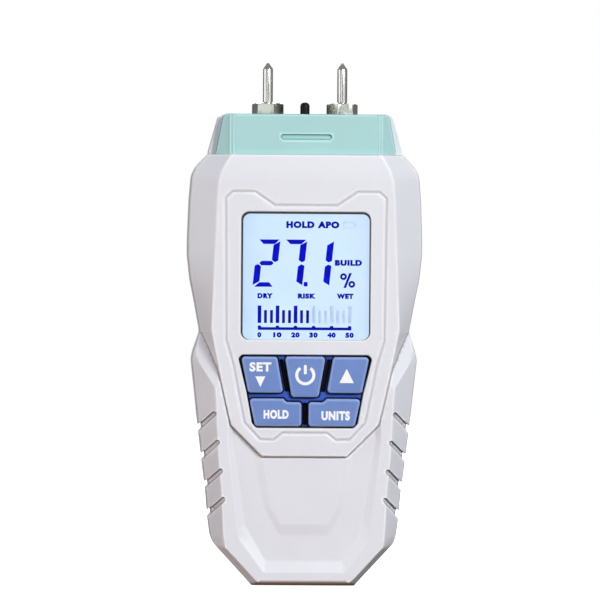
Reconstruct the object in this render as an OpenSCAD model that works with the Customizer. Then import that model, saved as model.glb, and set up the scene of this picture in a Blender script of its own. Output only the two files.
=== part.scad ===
// Hand-held pin moisture meter, standing on its base.
// X runs across the front, the display faces -Y, and Z runs up to the electrode pins.
// The origin is the middle of the base. Millimetres.

/* [Housing] */
// Depth of the housing from the display plate to the back
housing_d = 30.4; // [30:0.1:31]
// Thickness of the housing walls
wall = 2; // [1.6:0.1:2.2]
// Depth of the step from the display plate down to the handle's rim
plate_step = 0.8; // [0.4:0.1:1.0]
// Depth of the hollow in the handle's front, below its rim
hollow_depth = 1; // [0.5:0.1:1.2]
// Depth of the four grip notches on each side
notch_depth = 0.85; // [0.4:0.05:1.2]
// Distance between grip notches up the handle
notch_pitch = 8.2; // [7:0.1:8.4]

/* [Display] */
// Width of the display opening
window_w = 37.2; // [34:0.1:37.5]
// Height of the display opening
window_h = 36.8; // [34:0.1:37]
// Height of the display's centre above the base
window_z = 89.3; // [89:0.1:89.6]
// Depth of the clear window behind the plate's face
window_recess = 0.7; // [0.4:0.1:0.8]

/* [Keys] */
// How far each key presses in
key_travel = 1; // [0.5:0.1:1]
// How far the keys stand proud of the display plate
key_proud = 0.8; // [0.2:0.1:0.8]
// Gap all round each key
key_gap = 0.2; // [0.15:0.01:0.25]

/* [Electrodes] */
// Distance between the two electrode pins
pin_spacing = 21.5; // [18:0.5:24]
// Diameter of each electrode pin
pin_d = 2.9; // [2:0.1:3.2]
// Length of each pin that stands above its collar
pin_length = 11.8; // [8:0.1:20]
// Width across the flats of the hexagonal collars
collar_af = 8; // [7:0.1:8.5]
// Height of the hexagonal collars
collar_h = 3.4; // [2.5:0.1:5]

/* [Hidden] */
$fn = 48;
eps = 0.01;

// Depths, from the front to the back
back_y = 15.6;
plate_y = back_y - housing_d;
rim_y = plate_y + plate_step;
floor_y = rim_y + hollow_depth;
key_y = plate_y - key_proud;
side_front_y = -6.5;
side_back_y = 9;
seam_y = 0;
pocket_y = plate_y + wall;
cavity_y = -11;
lens_y = plate_y + window_recess;
lens_t = 1.2;
lcd_y = pocket_y + 0.1;
lcd_t = 1.9;
board_y = -8.4;
board_t = 1.6;
board_back_y = board_y + board_t;
key_back_y = -10.1;
pill_t = 0.5;
head_front_y = -5.5;
head_back_y = 12.5;
head_edge = 2;
cover_face_y = -12.3;
cover_edge_y = -9.3;
cover_slot_y = -11.7;

// Heights
body_top = 124.2;
head_top = 135.6;
cover_top = 135.8;
plate_bottom = 37.6;
head_inside_low = 120;
cover_slot_z = 129.2;
notch_top = 45;
keypad_z = 55.8;

// Half outlines, each from the top down, as [half width, height]
side_half = [[28.1, body_top], [29.8, 122.5], [31.8, 120.2], [32.8, 117.9], [33.4, 111],
    [33.8, 99.5], [33.8, 95], [33, 88], [30.1, 73], [32.5, 64.9], [30.5, 46.5],
    [29.1, 35], [27.4, 18.9], [26.8, 14.3], [25.9, 12], [14.8, 0]];
face_half = [[21.4, body_top], [22.7, 122.2], [24.2, 119.5], [25.3, 116], [25.5, 111],
    [25.9, 99.5], [26.1, 95], [26.4, 88], [27, 73.6], [25.4, 65], [25.3, 46.5],
    [24.5, 35], [23.4, 18.9], [23.1, 14.3], [22.8, 11.3], [13.3, 1.1]];
plate_half = [[21.4, body_top], [24.2, 119.5], [25.3, 116], [26.1, 95], [27, 73.6],
    [25.8, 67.8], [24, 59.5], [22.3, 52], [21, 46.5], [12.1, plate_bottom]];
hollow_half = [[22.1, 48], [22.1, 41.9], [19.1, 14], [11.7, 4.2]];
hollow_floor_half = [[20.5, 48], [20.5, 41.9], [16.9, 17.4], [10.6, 6.6]];
shield_half = [[14, plate_bottom + 2], [14, 37], [12.7, 28.1], [11.3, 22.3], [7.6, 15.7], [6.5, 14.7]];
head_half = [[24.2, head_top], [25.5, 134.4], [28.1, body_top]];
cover_half = [[23, cover_top], [24.3, 134.6], [26.1, body_top]];
cover_face_half = [[20.4, cover_top - 0.3], [20.9, 134.8], [21, body_top]];
keypad_half = [[18.2, 66.6], [19.2, 65.5], [16.8, 55.7], [15.2, 46.9], [14, 45.6]];
back_inset = 4.5;
back_round = 1.5;

// Widths and heights of the display's pieces and the keypad, with their gaps
slip = 0.1;
pocket_gap = 0.2;
lens_w = 39.6;
lens_h = 39.2;
lcd_w = 40;
lcd_h = 39.5;
frame_w = 43.4;
frame_h = 42.4;
backlight_w = 39.6;
backlight_h = 33;
strip_w = 36;
strip_h = 2;
strip_offset = 18.3;
mat_w = 40;
mat_h = 23.6;
mat_t = 1.2;
mat_gap = 0.4;
web_t = 0.7;

// Grip notches: the place of the highest one, and how each next one steps inward
notch_x = 29.7;
notch_drift = 0.6;
notch_w = 2;
notch_reach = 10;

// Insides of the head and its cover, and the short slot across the cover
head_inside_half = 22.5;
cover_inside_half = [[21.5, -5.4], [21.5, -8.8], [19.6, -10.5]];
cover_roof = 1.8;
cover_slot_half = 6.6;
cover_slot_r = 0.85;

// Circuit board: its half outline, and its chips as [x, height, width, length, thickness]
board_half = [[21.5, 116], [21.5, 70], [19.5, 50], [16.5, 38]];
chips = [[0, 88, 12, 12, 1.5], [-11, 104, 5, 6.2, 1.4], [8, 108, 5, 3.9, 1.2], [13, 76, 4, 8, 2.6],
    [-13, 74, 3, 3, 1.1], [-6, 62, 4.9, 3.9, 1.3]];

// Key outlines, as [x, height]; the keys on the right mirror those on the left
set_outline = [[-18.4, 66], [-8.1, 66], [-6.25, 55.7], [-16.3, 55.7]];
power_outline = [[-5.85, 66.1], [5.85, 66.1], [3.85, 54.5], [-3.85, 54.5]];
hold_outline = [[-16, 54], [-6.2, 54], [-5.3, 53], [-1.5, 53], [-1.05, 52.5], [-1.05, 46.1], [-14.3, 46.1]];
key_middles = [[-12.3, 60.8], [0, 60.3], [12.3, 60.8], [-8.2, 50], [8.2, 50]];

// Electrodes and sensor
pin_y = 2;
pin_x = pin_spacing / 2;
pin_r = pin_d / 2;
tip_length = 1.7;
tip_r = 0.25;
stud_r = 1.5;
stud_length = 9;
socket_r = 3;
socket_h = 8;
collar_turn = 10.35;
bead_r = 1.35;
bead_h = 3.8;
bead_sunk = 1;
lead_r = 0.6;
bead_lead_r = 0.3;
// Socket carrier
carrier_w = 34;
carrier_y = -2.6;
carrier_d = 10;
carrier_h = 6;
carrier_hole_r = 1.8;

// Three AAA cells side by side
cell_d = 10.5;
cell_l = 44.5;
cell_pitch = 10.9;
cell_y = 8.2;
bay_half = 16.6;
bay_wall = 1.4;
bay_low = 12;
bay_high = 62;
bay_floor_y = 2.4;
nub_r = 1.9;
nub_h = 1;
plate_t = 0.5;
contact_w = 9;
contact_y = 3.2;
contact_d = 8.6;
tab_w = 2;
tab_t = 0.4;
tab_h = 1.6;
tab_front_y = -0.6;
spring_h = 4.5;
cell_z = bay_low + plate_t + spring_h;

// Battery door
door_half = 17;
door_low = 11.2;
door_high = 64.5;
door_in_y = 13.9;
door_out_y = 15.5;
door_gap = 0.4;
hinge_y = (door_in_y + door_out_y) / 2;
edge_r = (door_out_y - door_in_y) / 2;
hinge_z = door_low + edge_r;
pivot_r = 0.6;
pivot_reach = door_half + door_gap + 0.5;
tongue_w = 9.6;
tongue_t = 1.2;
tongue_h = 1.2;
slit_x = 7.4;
slit_w = 0.8;
slit_h = 10;
rib_w = 12;
rib_pitch = 2.4;
rib_depth = 0.5;

// Screws
corner_screws = [[-25, 112], [25, 112], [-20.9, 30], [20.9, 30]];
screw_r = 1.1;
screw_head_r = 2.2;
screw_head_t = 1.6;
screw_seat_y = 10;
screw_cross = [2.8, 0.6];
screw_cross_depth = 0.7;
boss_r = 2.6;
board_posts = [[-18.5, 113.4], [18.5, 113.4], [-13.6, 40.4], [13.6, 40.4]];
board_post_r = 1.9;
board_screw_r = 0.9;
board_head_r = 1.8;
board_head_t = 1.2;
board_cross = [2.2, 0.5];
board_cross_depth = 0.5;
run_gap = 0.05;

function mirrored(half) =
    concat(half, [for (i = [len(half) - 1 : -1 : 0]) [-half[i][0], half[i][1]]]);
function flipped(points) = [for (i = [len(points) - 1 : -1 : 0]) [-points[i][0], points[i][1]]];
function narrowed(half, d) = [for (p = half) [p[0] - d, p[1]]];
// A half outline shrunk by a wall on every side
function hollowed(half, d) =
    let (low = half[len(half) - 1][1], high = half[0][1], k = (high - low - 2 * d) / (high - low))
        [for (p = half) [p[0] - d, low + d + (p[1] - low) * k]];

// A solid through outlines of equal length, each given as [y, outline]
module loft(rings) {
    n = len(rings[0][1]);
    last = len(rings) - 1;
    polyhedron(
        points = [for (r = rings) for (p = r[1]) [p[0], r[0], p[1]]],
        faces = concat(
            [[for (i = [0 : n - 1]) i]],
            [for (k = [0 : last - 1]) for (i = [0 : n - 1])
                [k * n + i, (k + 1) * n + i, (k + 1) * n + (i + 1) % n]],
            [for (k = [0 : last - 1]) for (i = [0 : n - 1])
                [k * n + i, (k + 1) * n + (i + 1) % n, k * n + (i + 1) % n]],
            [[for (i = [n - 1 : -1 : 0]) last * n + i]]),
        convexity = 6);
}

// A flat outline of x and height, made solid between two depths
module slab(points, y0, y1) {
    translate([0, y1, 0])
        rotate([90, 0, 0])
            linear_extrude(y1 - y0)
                polygon(points);
}

// A cylinder along Y
module rod(x, z, r, y0, y1) {
    translate([x, y1, z])
        rotate([90, 0, 0])
            cylinder(r = r, h = y1 - y0);
}

// A block centred on x and z, between two depths
module block(x, z, w, h, y0, y1) {
    translate([x - w / 2, y0, z - h / 2])
        cube([w, y1 - y0, h]);
}

// What lies between two depths
module between(y0, y1) {
    translate([-60, y0, -20])
        cube([120, y1 - y0, 180]);
}

// The whole housing's outside below the head, narrowed by d
module body_form(d) {
    past = 1;
    slope = back_inset / (back_y - side_back_y);
    intersection() {
        loft([
            [rim_y, mirrored(narrowed(face_half, d))],
            [side_front_y, mirrored(narrowed(side_half, d))],
            [side_back_y, mirrored(narrowed(side_half, d))],
            [back_y + past, mirrored(narrowed(side_half, back_inset + slope * past + d))]]);
        between(rim_y - 1, back_y);
    }
}

// The hollow inside the housing, from the front wall to the back wall
module inside() {
    past = 1;
    intersection() {
        loft([
            [cavity_y, mirrored(hollowed(face_half, wall + 0.6))],
            [side_front_y, mirrored(hollowed(side_half, wall))],
            [side_back_y, mirrored(hollowed(side_half, wall))],
            [back_y - wall + past, mirrored(hollowed(side_half, wall + 4))]]);
        between(cavity_y - 1, back_y - wall);
    }
}

// The four slanting grip bands on one side
module grip_bands(side) {
    shift = 2.6;
    for (i = [0 : 3])
        translate([side * (notch_x - i * notch_drift), 0, notch_top - i * notch_pitch])
            rotate([0, side * 45, 0])
                translate([-side * shift, 0, 0])
                    cube([notch_reach, 40, notch_w], center = true);
}

module grip_notches() {
    intersection() {
        union() {
            grip_bands(-1);
            grip_bands(1);
        }
        difference() {
            body_form(-1);
            body_form(notch_depth);
        }
    }
}

module front_shell() {
    color("gainsboro") difference() {
        union() {
            difference() {
                body_form(0);
                between(seam_y, 40);
                inside();
                loft([
                    [rim_y - eps, mirrored(hollow_half)],
                    [floor_y, mirrored(hollow_floor_half)]]);
            }
            loft([[plate_y, mirrored(plate_half)], [rim_y, mirrored(narrowed(plate_half, -0.7))]]);
            slab(mirrored(plate_half), rim_y - eps, cavity_y);
            slab(mirrored(shield_half), floor_y - 0.5, cavity_y);
            for (s = corner_screws) rod(s[0], s[1], boss_r, cavity_y - 0.5, seam_y);
            for (s = board_posts) rod(s[0], s[1], board_post_r, cavity_y - 0.5, board_y);
        }
        grip_notches();
        // Pockets behind the plate for the display and the keypad
        block(0, window_z, frame_w + 2 * pocket_gap, frame_h + 2 * pocket_gap, pocket_y, cavity_y + 1);
        block(0, keypad_z, mat_w + 2 * mat_gap, mat_h + 2 * mat_gap, pocket_y, cavity_y + 1);
        block(0, window_z, window_w, window_h, plate_y - 1, lens_y);
        block(0, window_z, lens_w + 2 * slip, lens_h + 2 * slip, lens_y - eps, pocket_y + eps);
        slab(mirrored(keypad_half), plate_y - 1, pocket_y + 1);
        for (s = corner_screws) rod(s[0], s[1], screw_r + run_gap, cavity_y + 1, seam_y + 1);
        for (s = board_posts) rod(s[0], s[1], board_screw_r + run_gap, cavity_y, board_y + 1);
    }
}

module rear_shell() {
    color("gainsboro") difference() {
        union() {
            difference() {
                body_form(0);
                between(-40, seam_y);
                inside();
            }
            // The head, with its rim standing round the cover
            loft([
                [head_front_y, mirrored(head_half)],
                [head_back_y - head_edge, mirrored(head_half)],
                [head_back_y, mirrored(narrowed(head_half, back_round))]]);
            block(0, (door_low + door_high) / 2, 2 * (bay_half + bay_wall),
                door_high - door_low + 2 * (door_gap + bay_wall), bay_floor_y - bay_wall, back_y - 1);
            for (s = corner_screws) rod(s[0], s[1], boss_r, seam_y, back_y - 1);
        }
        grip_notches();
        // Inside of the head, open below into the body
        translate([-head_inside_half, head_front_y + 1.8, head_inside_low])
            cube([2 * head_inside_half, head_back_y - head_front_y - 4.3, head_top - wall - head_inside_low]);
        // Battery bay and the seat of its door
        block(0, (bay_low + bay_high) / 2, 2 * bay_half, bay_high - bay_low, bay_floor_y, back_y + 1);
        block(0, (door_low + door_high) / 2, 2 * (door_half + door_gap),
            door_high - door_low + 2 * door_gap, door_in_y - 0.1, back_y + 1);
        // Slot for the door's snap tongue, and sockets for its two pivots
        block(0, door_high - 1, tongue_w + 1, tongue_h + 1.8, door_in_y - tongue_t - 0.6, door_in_y);
        door_axle(pivot_r + run_gap, pivot_reach + 0.1);
        // Slots for the two solder tabs of the battery contacts
        block(-cell_pitch, bay_high - 1.5, 3, 2.6, -1, bay_floor_y + eps);
        block(cell_pitch, bay_low + 1.8, 3, 2.6, -1, bay_floor_y + eps);
        for (x = [-pin_x, pin_x]) translate([x, pin_y, head_top - 4]) cylinder(r = stud_r + 0.3, h = 5);
        translate([0, pin_y, head_top - 4]) cylinder(r = bead_r + run_gap, h = 5);
        for (s = corner_screws) {
            rod(s[0], s[1], screw_r + 0.15, seam_y - 1, back_y);
            rod(s[0], s[1], screw_head_r + 0.3, screw_seat_y, back_y + 1);
        }
    }
}

module head_cover() {
    color("powderblue") difference() {
        loft([
            [cover_face_y, mirrored(cover_face_half)],
            [cover_edge_y, mirrored(cover_half)],
            [head_front_y, mirrored(cover_half)]]);
        translate([0, 0, body_top - eps])
            linear_extrude(cover_top - body_top - cover_roof)
                polygon(mirrored(cover_inside_half));
        // The short slot across the front
        translate([0, cover_slot_y, cover_slot_z])
            rotate([90, 0, 0])
                linear_extrude(2)
                    hull() for (x = [-cover_slot_half, cover_slot_half])
                        translate([x, 0]) circle(r = cover_slot_r, $fn = 24);
    }
}

module display_lens() {
    color([0.85, 0.92, 1, 0.4]) block(0, window_z, lens_w, lens_h, lens_y, lens_y + lens_t);
}

module lcd_glass() {
    color("lightblue") block(0, window_z, lcd_w, lcd_h, lcd_y, lcd_y + lcd_t);
}

module lcd_frame() {
    color("white") difference() {
        block(0, window_z, frame_w, frame_h, lcd_y, board_y);
        block(0, window_z, lcd_w + 2 * slip, lcd_h + 2 * slip, lcd_y - 1, board_y + 1);
    }
}

module backlight_panel() {
    color("aliceblue") block(0, window_z, backlight_w, backlight_h, lcd_y + lcd_t + slip, board_y - 0.6);
}

module zebra_connectors() {
    color("darkslategray") for (side = [-1, 1])
        block(0, window_z + side * strip_offset, strip_w, strip_h, lcd_y + lcd_t, board_y);
}

module main_pcb() {
    color("seagreen") difference() {
        slab(mirrored(board_half), board_y, board_back_y);
        for (s = board_posts) rod(s[0], s[1], board_screw_r + 0.2, board_y - 1, board_back_y + 1);
    }
}

module board_chips() {
    color("dimgray") for (c = chips) block(c[0], c[1], c[2], c[3], board_back_y, board_back_y + c[4]);
}

// A cross recess in a screw's head, from y back
module cross(s, size, y) {
    block(s[0], s[1], size[0], size[1], y, y + 2);
    block(s[0], s[1], size[1], size[0], y, y + 2);
}

module board_screws() {
    color("silver") for (s = board_posts) difference() {
        union() {
            rod(s[0], s[1], board_screw_r, cavity_y + 0.2, board_back_y + 0.5);
            rod(s[0], s[1], board_head_r, board_back_y, board_back_y + board_head_t);
        }
        cross(s, board_cross, board_back_y + board_head_t - board_cross_depth);
    }
}

module all_keys(grow) {
    offset(delta = grow) polygon(set_outline);
    offset(delta = grow) polygon(flipped(set_outline));
    offset(delta = grow) polygon(power_outline);
    offset(delta = grow) polygon(hold_outline);
    offset(delta = grow) polygon(flipped(hold_outline));
}

module keypad_mat() {
    color("royalblue") {
        difference() {
            block(0, keypad_z, mat_w, mat_h, pocket_y, pocket_y + mat_t);
            translate([0, pocket_y + 2, 0]) rotate([90, 0, 0]) linear_extrude(4) all_keys(key_gap);
        }
        translate([0, pocket_y + eps, 0]) rotate([90, 0, 0]) linear_extrude(web_t) difference() {
            offset(delta = -0.1) polygon(mirrored(keypad_half));
            all_keys(key_gap);
        }
    }
}

module key(points) {
    color("cornflowerblue") slab(points, key_y, key_back_y);
}

module key_set() { key(set_outline); }
module key_power() { key(power_outline); }
module key_up() { key(flipped(set_outline)); }
module key_hold() { key(hold_outline); }
module key_units() { key(flipped(hold_outline)); }

// The carbon pill under a key, which closes its contact on the board
module pill(i) {
    color("black") rod(key_middles[i][0], key_middles[i][1], 2, key_back_y, key_back_y + pill_t);
}

// A steel pin with a conical tip, a hexagonal collar and a stud that screws into its socket
module electrode(side) {
    color("silver") translate([side * pin_x, pin_y, head_top]) {
        rotate([0, 0, side * collar_turn]) cylinder(r = collar_af / 2 / cos(30), h = collar_h, $fn = 6);
        translate([0, 0, collar_h - eps]) cylinder(r = pin_r, h = pin_length - tip_length);
        translate([0, 0, collar_h + pin_length - tip_length - 2 * eps])
            cylinder(r1 = pin_r, r2 = tip_r, h = tip_length);
        translate([0, 0, -stud_length]) cylinder(r = stud_r, h = stud_length + eps);
    }
}

module electrode_left() { electrode(-1); }
module electrode_right() { electrode(1); }

module electrode_sockets() {
    color("goldenrod") for (side = [-1, 1])
        translate([side * pin_x, pin_y, head_top - wall - socket_h]) difference() {
            cylinder(r = socket_r, h = socket_h);
            translate([0, 0, -1]) cylinder(r = stud_r + run_gap, h = socket_h + 2);
        }
}

module socket_carrier() {
    color("whitesmoke") difference() {
        translate([-carrier_w / 2, carrier_y, head_top - wall - carrier_h])
            cube([carrier_w, carrier_d, carrier_h - run_gap]);
        for (x = [-pin_x, pin_x]) translate([x, pin_y, 100]) cylinder(r = socket_r + run_gap, h = 40);
        translate([0, pin_y, 100]) cylinder(r = carrier_hole_r, h = 40);
    }
}

module temperature_sensor() {
    straight = wall + bead_sunk + bead_h - bead_r;
    color("black") translate([0, pin_y, head_top - wall - bead_sunk]) {
        cylinder(r = bead_r, h = straight);
        translate([0, 0, straight]) sphere(r = bead_r);
    }
}

// Direction of a path at one of its points, from its neighbours
function heading(path, i) =
    let (d = path[min(i + 1, len(path) - 1)] - path[max(i - 1, 0)]) d / norm(d);

// A round lead at a fixed x, through a path of [y, height] points
module lead(x, path, r) {
    sides = 8;
    last = len(path) - 1;
    polyhedron(
        points = [for (i = [0 : last]) for (k = [0 : sides - 1])
            let (t = heading(path, i), c = r * cos(k * 360 / sides), s = r * sin(k * 360 / sides))
                [x + c, path[i][0] - s * t[1], path[i][1] + s * t[0]]],
        faces = concat(
            [[for (k = [sides - 1 : -1 : 0]) k]],
            [for (i = [0 : last - 1]) for (k = [0 : sides - 1])
                [i * sides + k, i * sides + (k + 1) % sides, (i + 1) * sides + (k + 1) % sides]],
            [for (i = [0 : last - 1]) for (k = [0 : sides - 1])
                [i * sides + k, (i + 1) * sides + (k + 1) % sides, (i + 1) * sides + k]],
            [[for (k = [0 : sides - 1]) last * sides + k]]));
}

module sensor_leads() {
    socket_foot = head_top - wall - socket_h;
    bead_foot = head_top - wall - bead_sunk;
    color("firebrick") {
        for (side = [-1, 1])
            lead(side * 13, [[pin_y, socket_foot], [pin_y, 123], [1, 120], [-2, 117], [-4.4, 114.6],
                [-5.2, 114], [board_back_y, 114]], lead_r);
        for (side = [-1, 1])
            lead(side * 0.7, [[pin_y, bead_foot], [pin_y, 124], [1, 121], [-2, 117.6], [-4.4, 115],
                [-5.2, 114.4], [board_back_y, 114.4]], bead_lead_r);
    }
}

// An AAA cell, its raised end up or down
module cell(x, up) {
    color("steelblue") translate([x, cell_y, cell_z + (up ? 0 : nub_h)]) {
        cylinder(r = cell_d / 2, h = cell_l - nub_h);
        translate([0, 0, up ? cell_l - nub_h - eps : -nub_h]) cylinder(r = nub_r, h = nub_h + eps);
    }
}

module battery_1() { cell(-cell_pitch, true); }
module battery_2() { cell(0, false); }
module battery_3() { cell(cell_pitch, true); }

// A contact plate across the ends of one or more cells, from the cell at x
module contact_plate(x, cells, z) {
    translate([x - contact_w / 2, contact_y, z])
        cube([contact_w + (cells - 1) * cell_pitch, contact_d, plate_t]);
}

// The solder tab of the end plate at x: along the bay's floor, then forward through its slot
module solder_tab(x, plate_z, tab_z, front_z) {
    translate([x - tab_w / 2, bay_floor_y + 0.02, plate_z]) cube([tab_w, 1, plate_t]);
    translate([x - tab_w / 2, bay_floor_y + 0.02, tab_z]) cube([tab_w, tab_t, tab_h + eps]);
    translate([x - tab_w / 2, tab_front_y, front_z]) cube([tab_w, 3.2, tab_t]);
}

// Contact plates: two pairs of cells are bridged, and the two end plates have solder tabs
module battery_contacts() {
    low = bay_low;
    high = cell_z + cell_l;
    color("silver") {
        contact_plate(-cell_pitch, 1, high);
        contact_plate(0, 2, high);
        contact_plate(-cell_pitch, 2, low);
        contact_plate(cell_pitch, 1, low);
        solder_tab(-cell_pitch, high, high - tab_h, high - tab_h);
        solder_tab(cell_pitch, low, low + plate_t - eps, low + plate_t + tab_h - tab_t);
    }
}

// Conical contact springs, as stacked coils
module battery_springs() {
    coils = 5;
    wire_r = 0.5;
    color("silver") for (x = [-cell_pitch, 0, cell_pitch])
        translate([x, cell_y, bay_low + plate_t])
            for (i = [0 : coils - 1])
                translate([0, 0, wire_r + i * (spring_h - 2 * wire_r) / (coils - 1)])
                    rotate_extrude($fn = 36) translate([3.6 - i * 0.25, 0]) circle(r = wire_r, $fn = 16);
}

module battery_leads() {
    tab_z = cell_z + cell_l - 1.4;
    low_tab_z = bay_low + plate_t + tab_h - tab_t / 2;
    color("firebrick") lead(-cell_pitch, [[tab_front_y, tab_z], [-2, tab_z + 0.6], [-4, tab_z + 3.4],
        [-5.4, tab_z + 4.4], [board_back_y, tab_z + 4.4]], 0.5);
    color("black") lead(cell_pitch, [[tab_front_y, low_tab_z], [-2, low_tab_z + 0.6], [-3.2, 17.4],
        [-3.6, 26], [-3.8, 36], [-4.6, 42], [-5.4, 44], [board_back_y, 44]], 0.5);
}

// A round bar along the door's hinge axis
module door_axle(r, reach) {
    translate([-reach, hinge_y, hinge_z])
        rotate([0, 90, 0])
            cylinder(r = r, h = 2 * reach);
}

module battery_door() {
    color("gainsboro") difference() {
        union() {
            block(0, (hinge_z + door_high) / 2, 2 * door_half, door_high - hinge_z, door_in_y, door_out_y);
            door_axle(edge_r, door_half);
            door_axle(pivot_r, pivot_reach);
            block(0, door_high - 1, tongue_w, tongue_h, door_in_y - tongue_t, door_in_y + eps);
        }
        // Finger dish and ribs by the snap tongue
        for (i = [0 : 2])
            block(0, door_high - 6 - i * rib_pitch, rib_w, 1, door_out_y - rib_depth, door_out_y + 1);
        for (x = [-slit_x, slit_x]) block(x, door_high - 4, slit_w, slit_h, door_in_y - 1, door_out_y + 1);
    }
}

module housing_screws() {
    color("silver") for (s = corner_screws) difference() {
        union() {
            rod(s[0], s[1], screw_r, cavity_y + 2, screw_seat_y + eps);
            rod(s[0], s[1], screw_head_r, screw_seat_y, screw_seat_y + screw_head_t);
        }
        cross(s, screw_cross, screw_seat_y + screw_head_t - screw_cross_depth);
    }
}

front_shell();
rear_shell();
head_cover();
display_lens();
lcd_glass();
lcd_frame();
backlight_panel();
zebra_connectors();
main_pcb();
board_chips();
board_screws();
keypad_mat();
key_set();
key_power();
key_up();
key_hold();
key_units();
pill(0);  // pill_set
pill(1);  // pill_power
pill(2);  // pill_up
pill(3);  // pill_hold
pill(4);  // pill_units
electrode_left();
electrode_right();
electrode_sockets();
socket_carrier();
temperature_sensor();
sensor_leads();
battery_1();
battery_2();
battery_3();
battery_contacts();
battery_springs();
battery_leads();
battery_door();
housing_screws();
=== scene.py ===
"""Looks for a hand-held pin moisture meter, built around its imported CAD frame.

Lengths in this script are millimetres until a mesh is made, and MM turns them into metres.
X runs across the front, the display faces -Y and Z runs up. A depth is a distance from the
seam between the two halves of the housing, positive towards the face it belongs to.
"""
import math

import bpy
import numpy as np
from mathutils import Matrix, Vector
from mathutils.geometry import delaunay_2d_cdt


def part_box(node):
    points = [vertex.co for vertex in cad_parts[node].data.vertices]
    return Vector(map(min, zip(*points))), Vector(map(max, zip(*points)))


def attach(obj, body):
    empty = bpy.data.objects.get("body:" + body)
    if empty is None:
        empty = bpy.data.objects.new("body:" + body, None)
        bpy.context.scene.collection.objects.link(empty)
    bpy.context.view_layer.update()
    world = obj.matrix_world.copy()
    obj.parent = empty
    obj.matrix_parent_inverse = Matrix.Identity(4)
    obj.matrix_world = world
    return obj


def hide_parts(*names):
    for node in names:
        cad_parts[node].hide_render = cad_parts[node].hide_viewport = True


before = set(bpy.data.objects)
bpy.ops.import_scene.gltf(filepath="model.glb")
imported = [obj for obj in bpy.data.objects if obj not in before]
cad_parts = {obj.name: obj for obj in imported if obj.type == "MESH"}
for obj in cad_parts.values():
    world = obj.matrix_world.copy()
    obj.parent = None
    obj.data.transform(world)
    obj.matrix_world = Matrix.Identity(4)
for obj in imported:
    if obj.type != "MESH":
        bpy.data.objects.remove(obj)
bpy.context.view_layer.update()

MM = 0.001
FRONT, BACK = -1, 1
FOOT_SHADE_HEIGHT = 0.95                          # height up to which the foot gets painted shade


# ---------------------------------------------------------------- outlines, as (x, z) points

def mirrored(half):
    """A closed clockwise outline from its right half, given from the top down."""
    return [tuple(p) for p in half] + [(-x, z) for x, z in reversed(half)]


def flipped(points):
    return [(-x, z) for x, z in reversed(points)]


def area(loop):
    p = np.asarray(loop, float)
    q = np.roll(p, -1, 0)
    return float((p[:, 0] * q[:, 1] - q[:, 0] * p[:, 1]).sum() / 2)


def clockwise(loop):
    p = np.asarray(loop, float)
    return p[::-1] if area(p) > 0 else p


def rounded(points, radius, steps=6):
    """The outline with each corner turned into an arc."""
    p = np.asarray(points, float)
    out = []
    for i, corner in enumerate(p):
        a, b = p[i - 1] - corner, p[(i + 1) % len(p)] - corner
        la, lb = np.linalg.norm(a), np.linalg.norm(b)
        a, b = a / la, b / lb
        half = math.acos(max(-1, min(1, float(a @ b)))) / 2
        if half > math.pi / 2 - 0.02:
            out.append(tuple(corner))
            continue
        cut = min(radius / math.tan(half), la * 0.45, lb * 0.45)
        r = cut * math.tan(half)
        centre = corner + (a + b) / np.linalg.norm(a + b) * (r / math.sin(half))
        start, end = corner + a * cut - centre, corner + b * cut - centre
        turn = math.atan2(start[0] * end[1] - start[1] * end[0], float(start @ end))
        for k in range(steps + 1):
            t = turn * k / steps
            c, s = math.cos(t), math.sin(t)
            out.append(tuple(centre + (start[0] * c - start[1] * s, start[0] * s + start[1] * c)))
    return out


def dense(loop, step):
    """The closed outline with points added so that no edge is longer than step."""
    p = np.asarray(loop, float)
    out = []
    for a, b in zip(p, np.roll(p, -1, 0)):
        n = max(1, math.ceil(np.linalg.norm(b - a) / step))
        out += [a + (b - a) * k / n for k in range(n)]
    return np.array(out)


def edge_normals(loop):
    """Unit normals on the left of each edge, which is outside on a clockwise outline."""
    p = np.asarray(loop, float)
    d = np.roll(p, -1, 0) - p
    d /= np.maximum(np.linalg.norm(d, axis=1, keepdims=True), 1e-9)
    return np.stack([-d[:, 1], d[:, 0]], 1)


def grown(loop, d):
    """The clockwise outline moved outward by d, with mitred corners."""
    p = clockwise(loop)
    n = edge_normals(p)
    m = n + np.roll(n, 1, 0)
    m /= np.maximum((m * m).sum(1, keepdims=True), 0.6) / 2
    return p + m * d


def rectangle(w, h, z, x=0):
    left, right, top, foot = x - w / 2, x + w / 2, z + h / 2, z - h / 2
    return [(left, top), (right, top), (right, foot), (left, foot)]


def arc(x, z, r, start, end, steps=32):
    """Points along an arc between two angles in degrees."""
    angles = np.radians(start + (end - start) * np.arange(steps + 1) / steps)
    return [(x + r * math.cos(t), z + r * math.sin(t)) for t in angles]


def capsule(a, b, r, steps=10):
    """The outline round a line from a to b, with half-round ends."""
    heading = math.degrees(math.atan2(b[1] - a[1], b[0] - a[0]))
    ends = arc(*b, r, heading + 90, heading - 90, steps) + arc(*a, r, heading - 90, heading - 270, steps)
    return np.array(ends)


# ---------------------------------------------------------------- measures of a point from an outline

def inside(points, loop):
    """Whether each point lies inside the outline."""
    p, q = np.asarray(loop, float), np.roll(np.asarray(loop, float), -1, 0)
    x, z = points[:, 0], points[:, 1]
    odd = np.zeros(len(points), bool)
    for (x0, z0), (x1, z1) in zip(p, q):
        if z0 == z1:
            continue
        odd ^= ((z0 > z) != (z1 > z)) & (x < (x1 - x0) * (z - z0) / (z1 - z0) + x0)
    return odd


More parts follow.
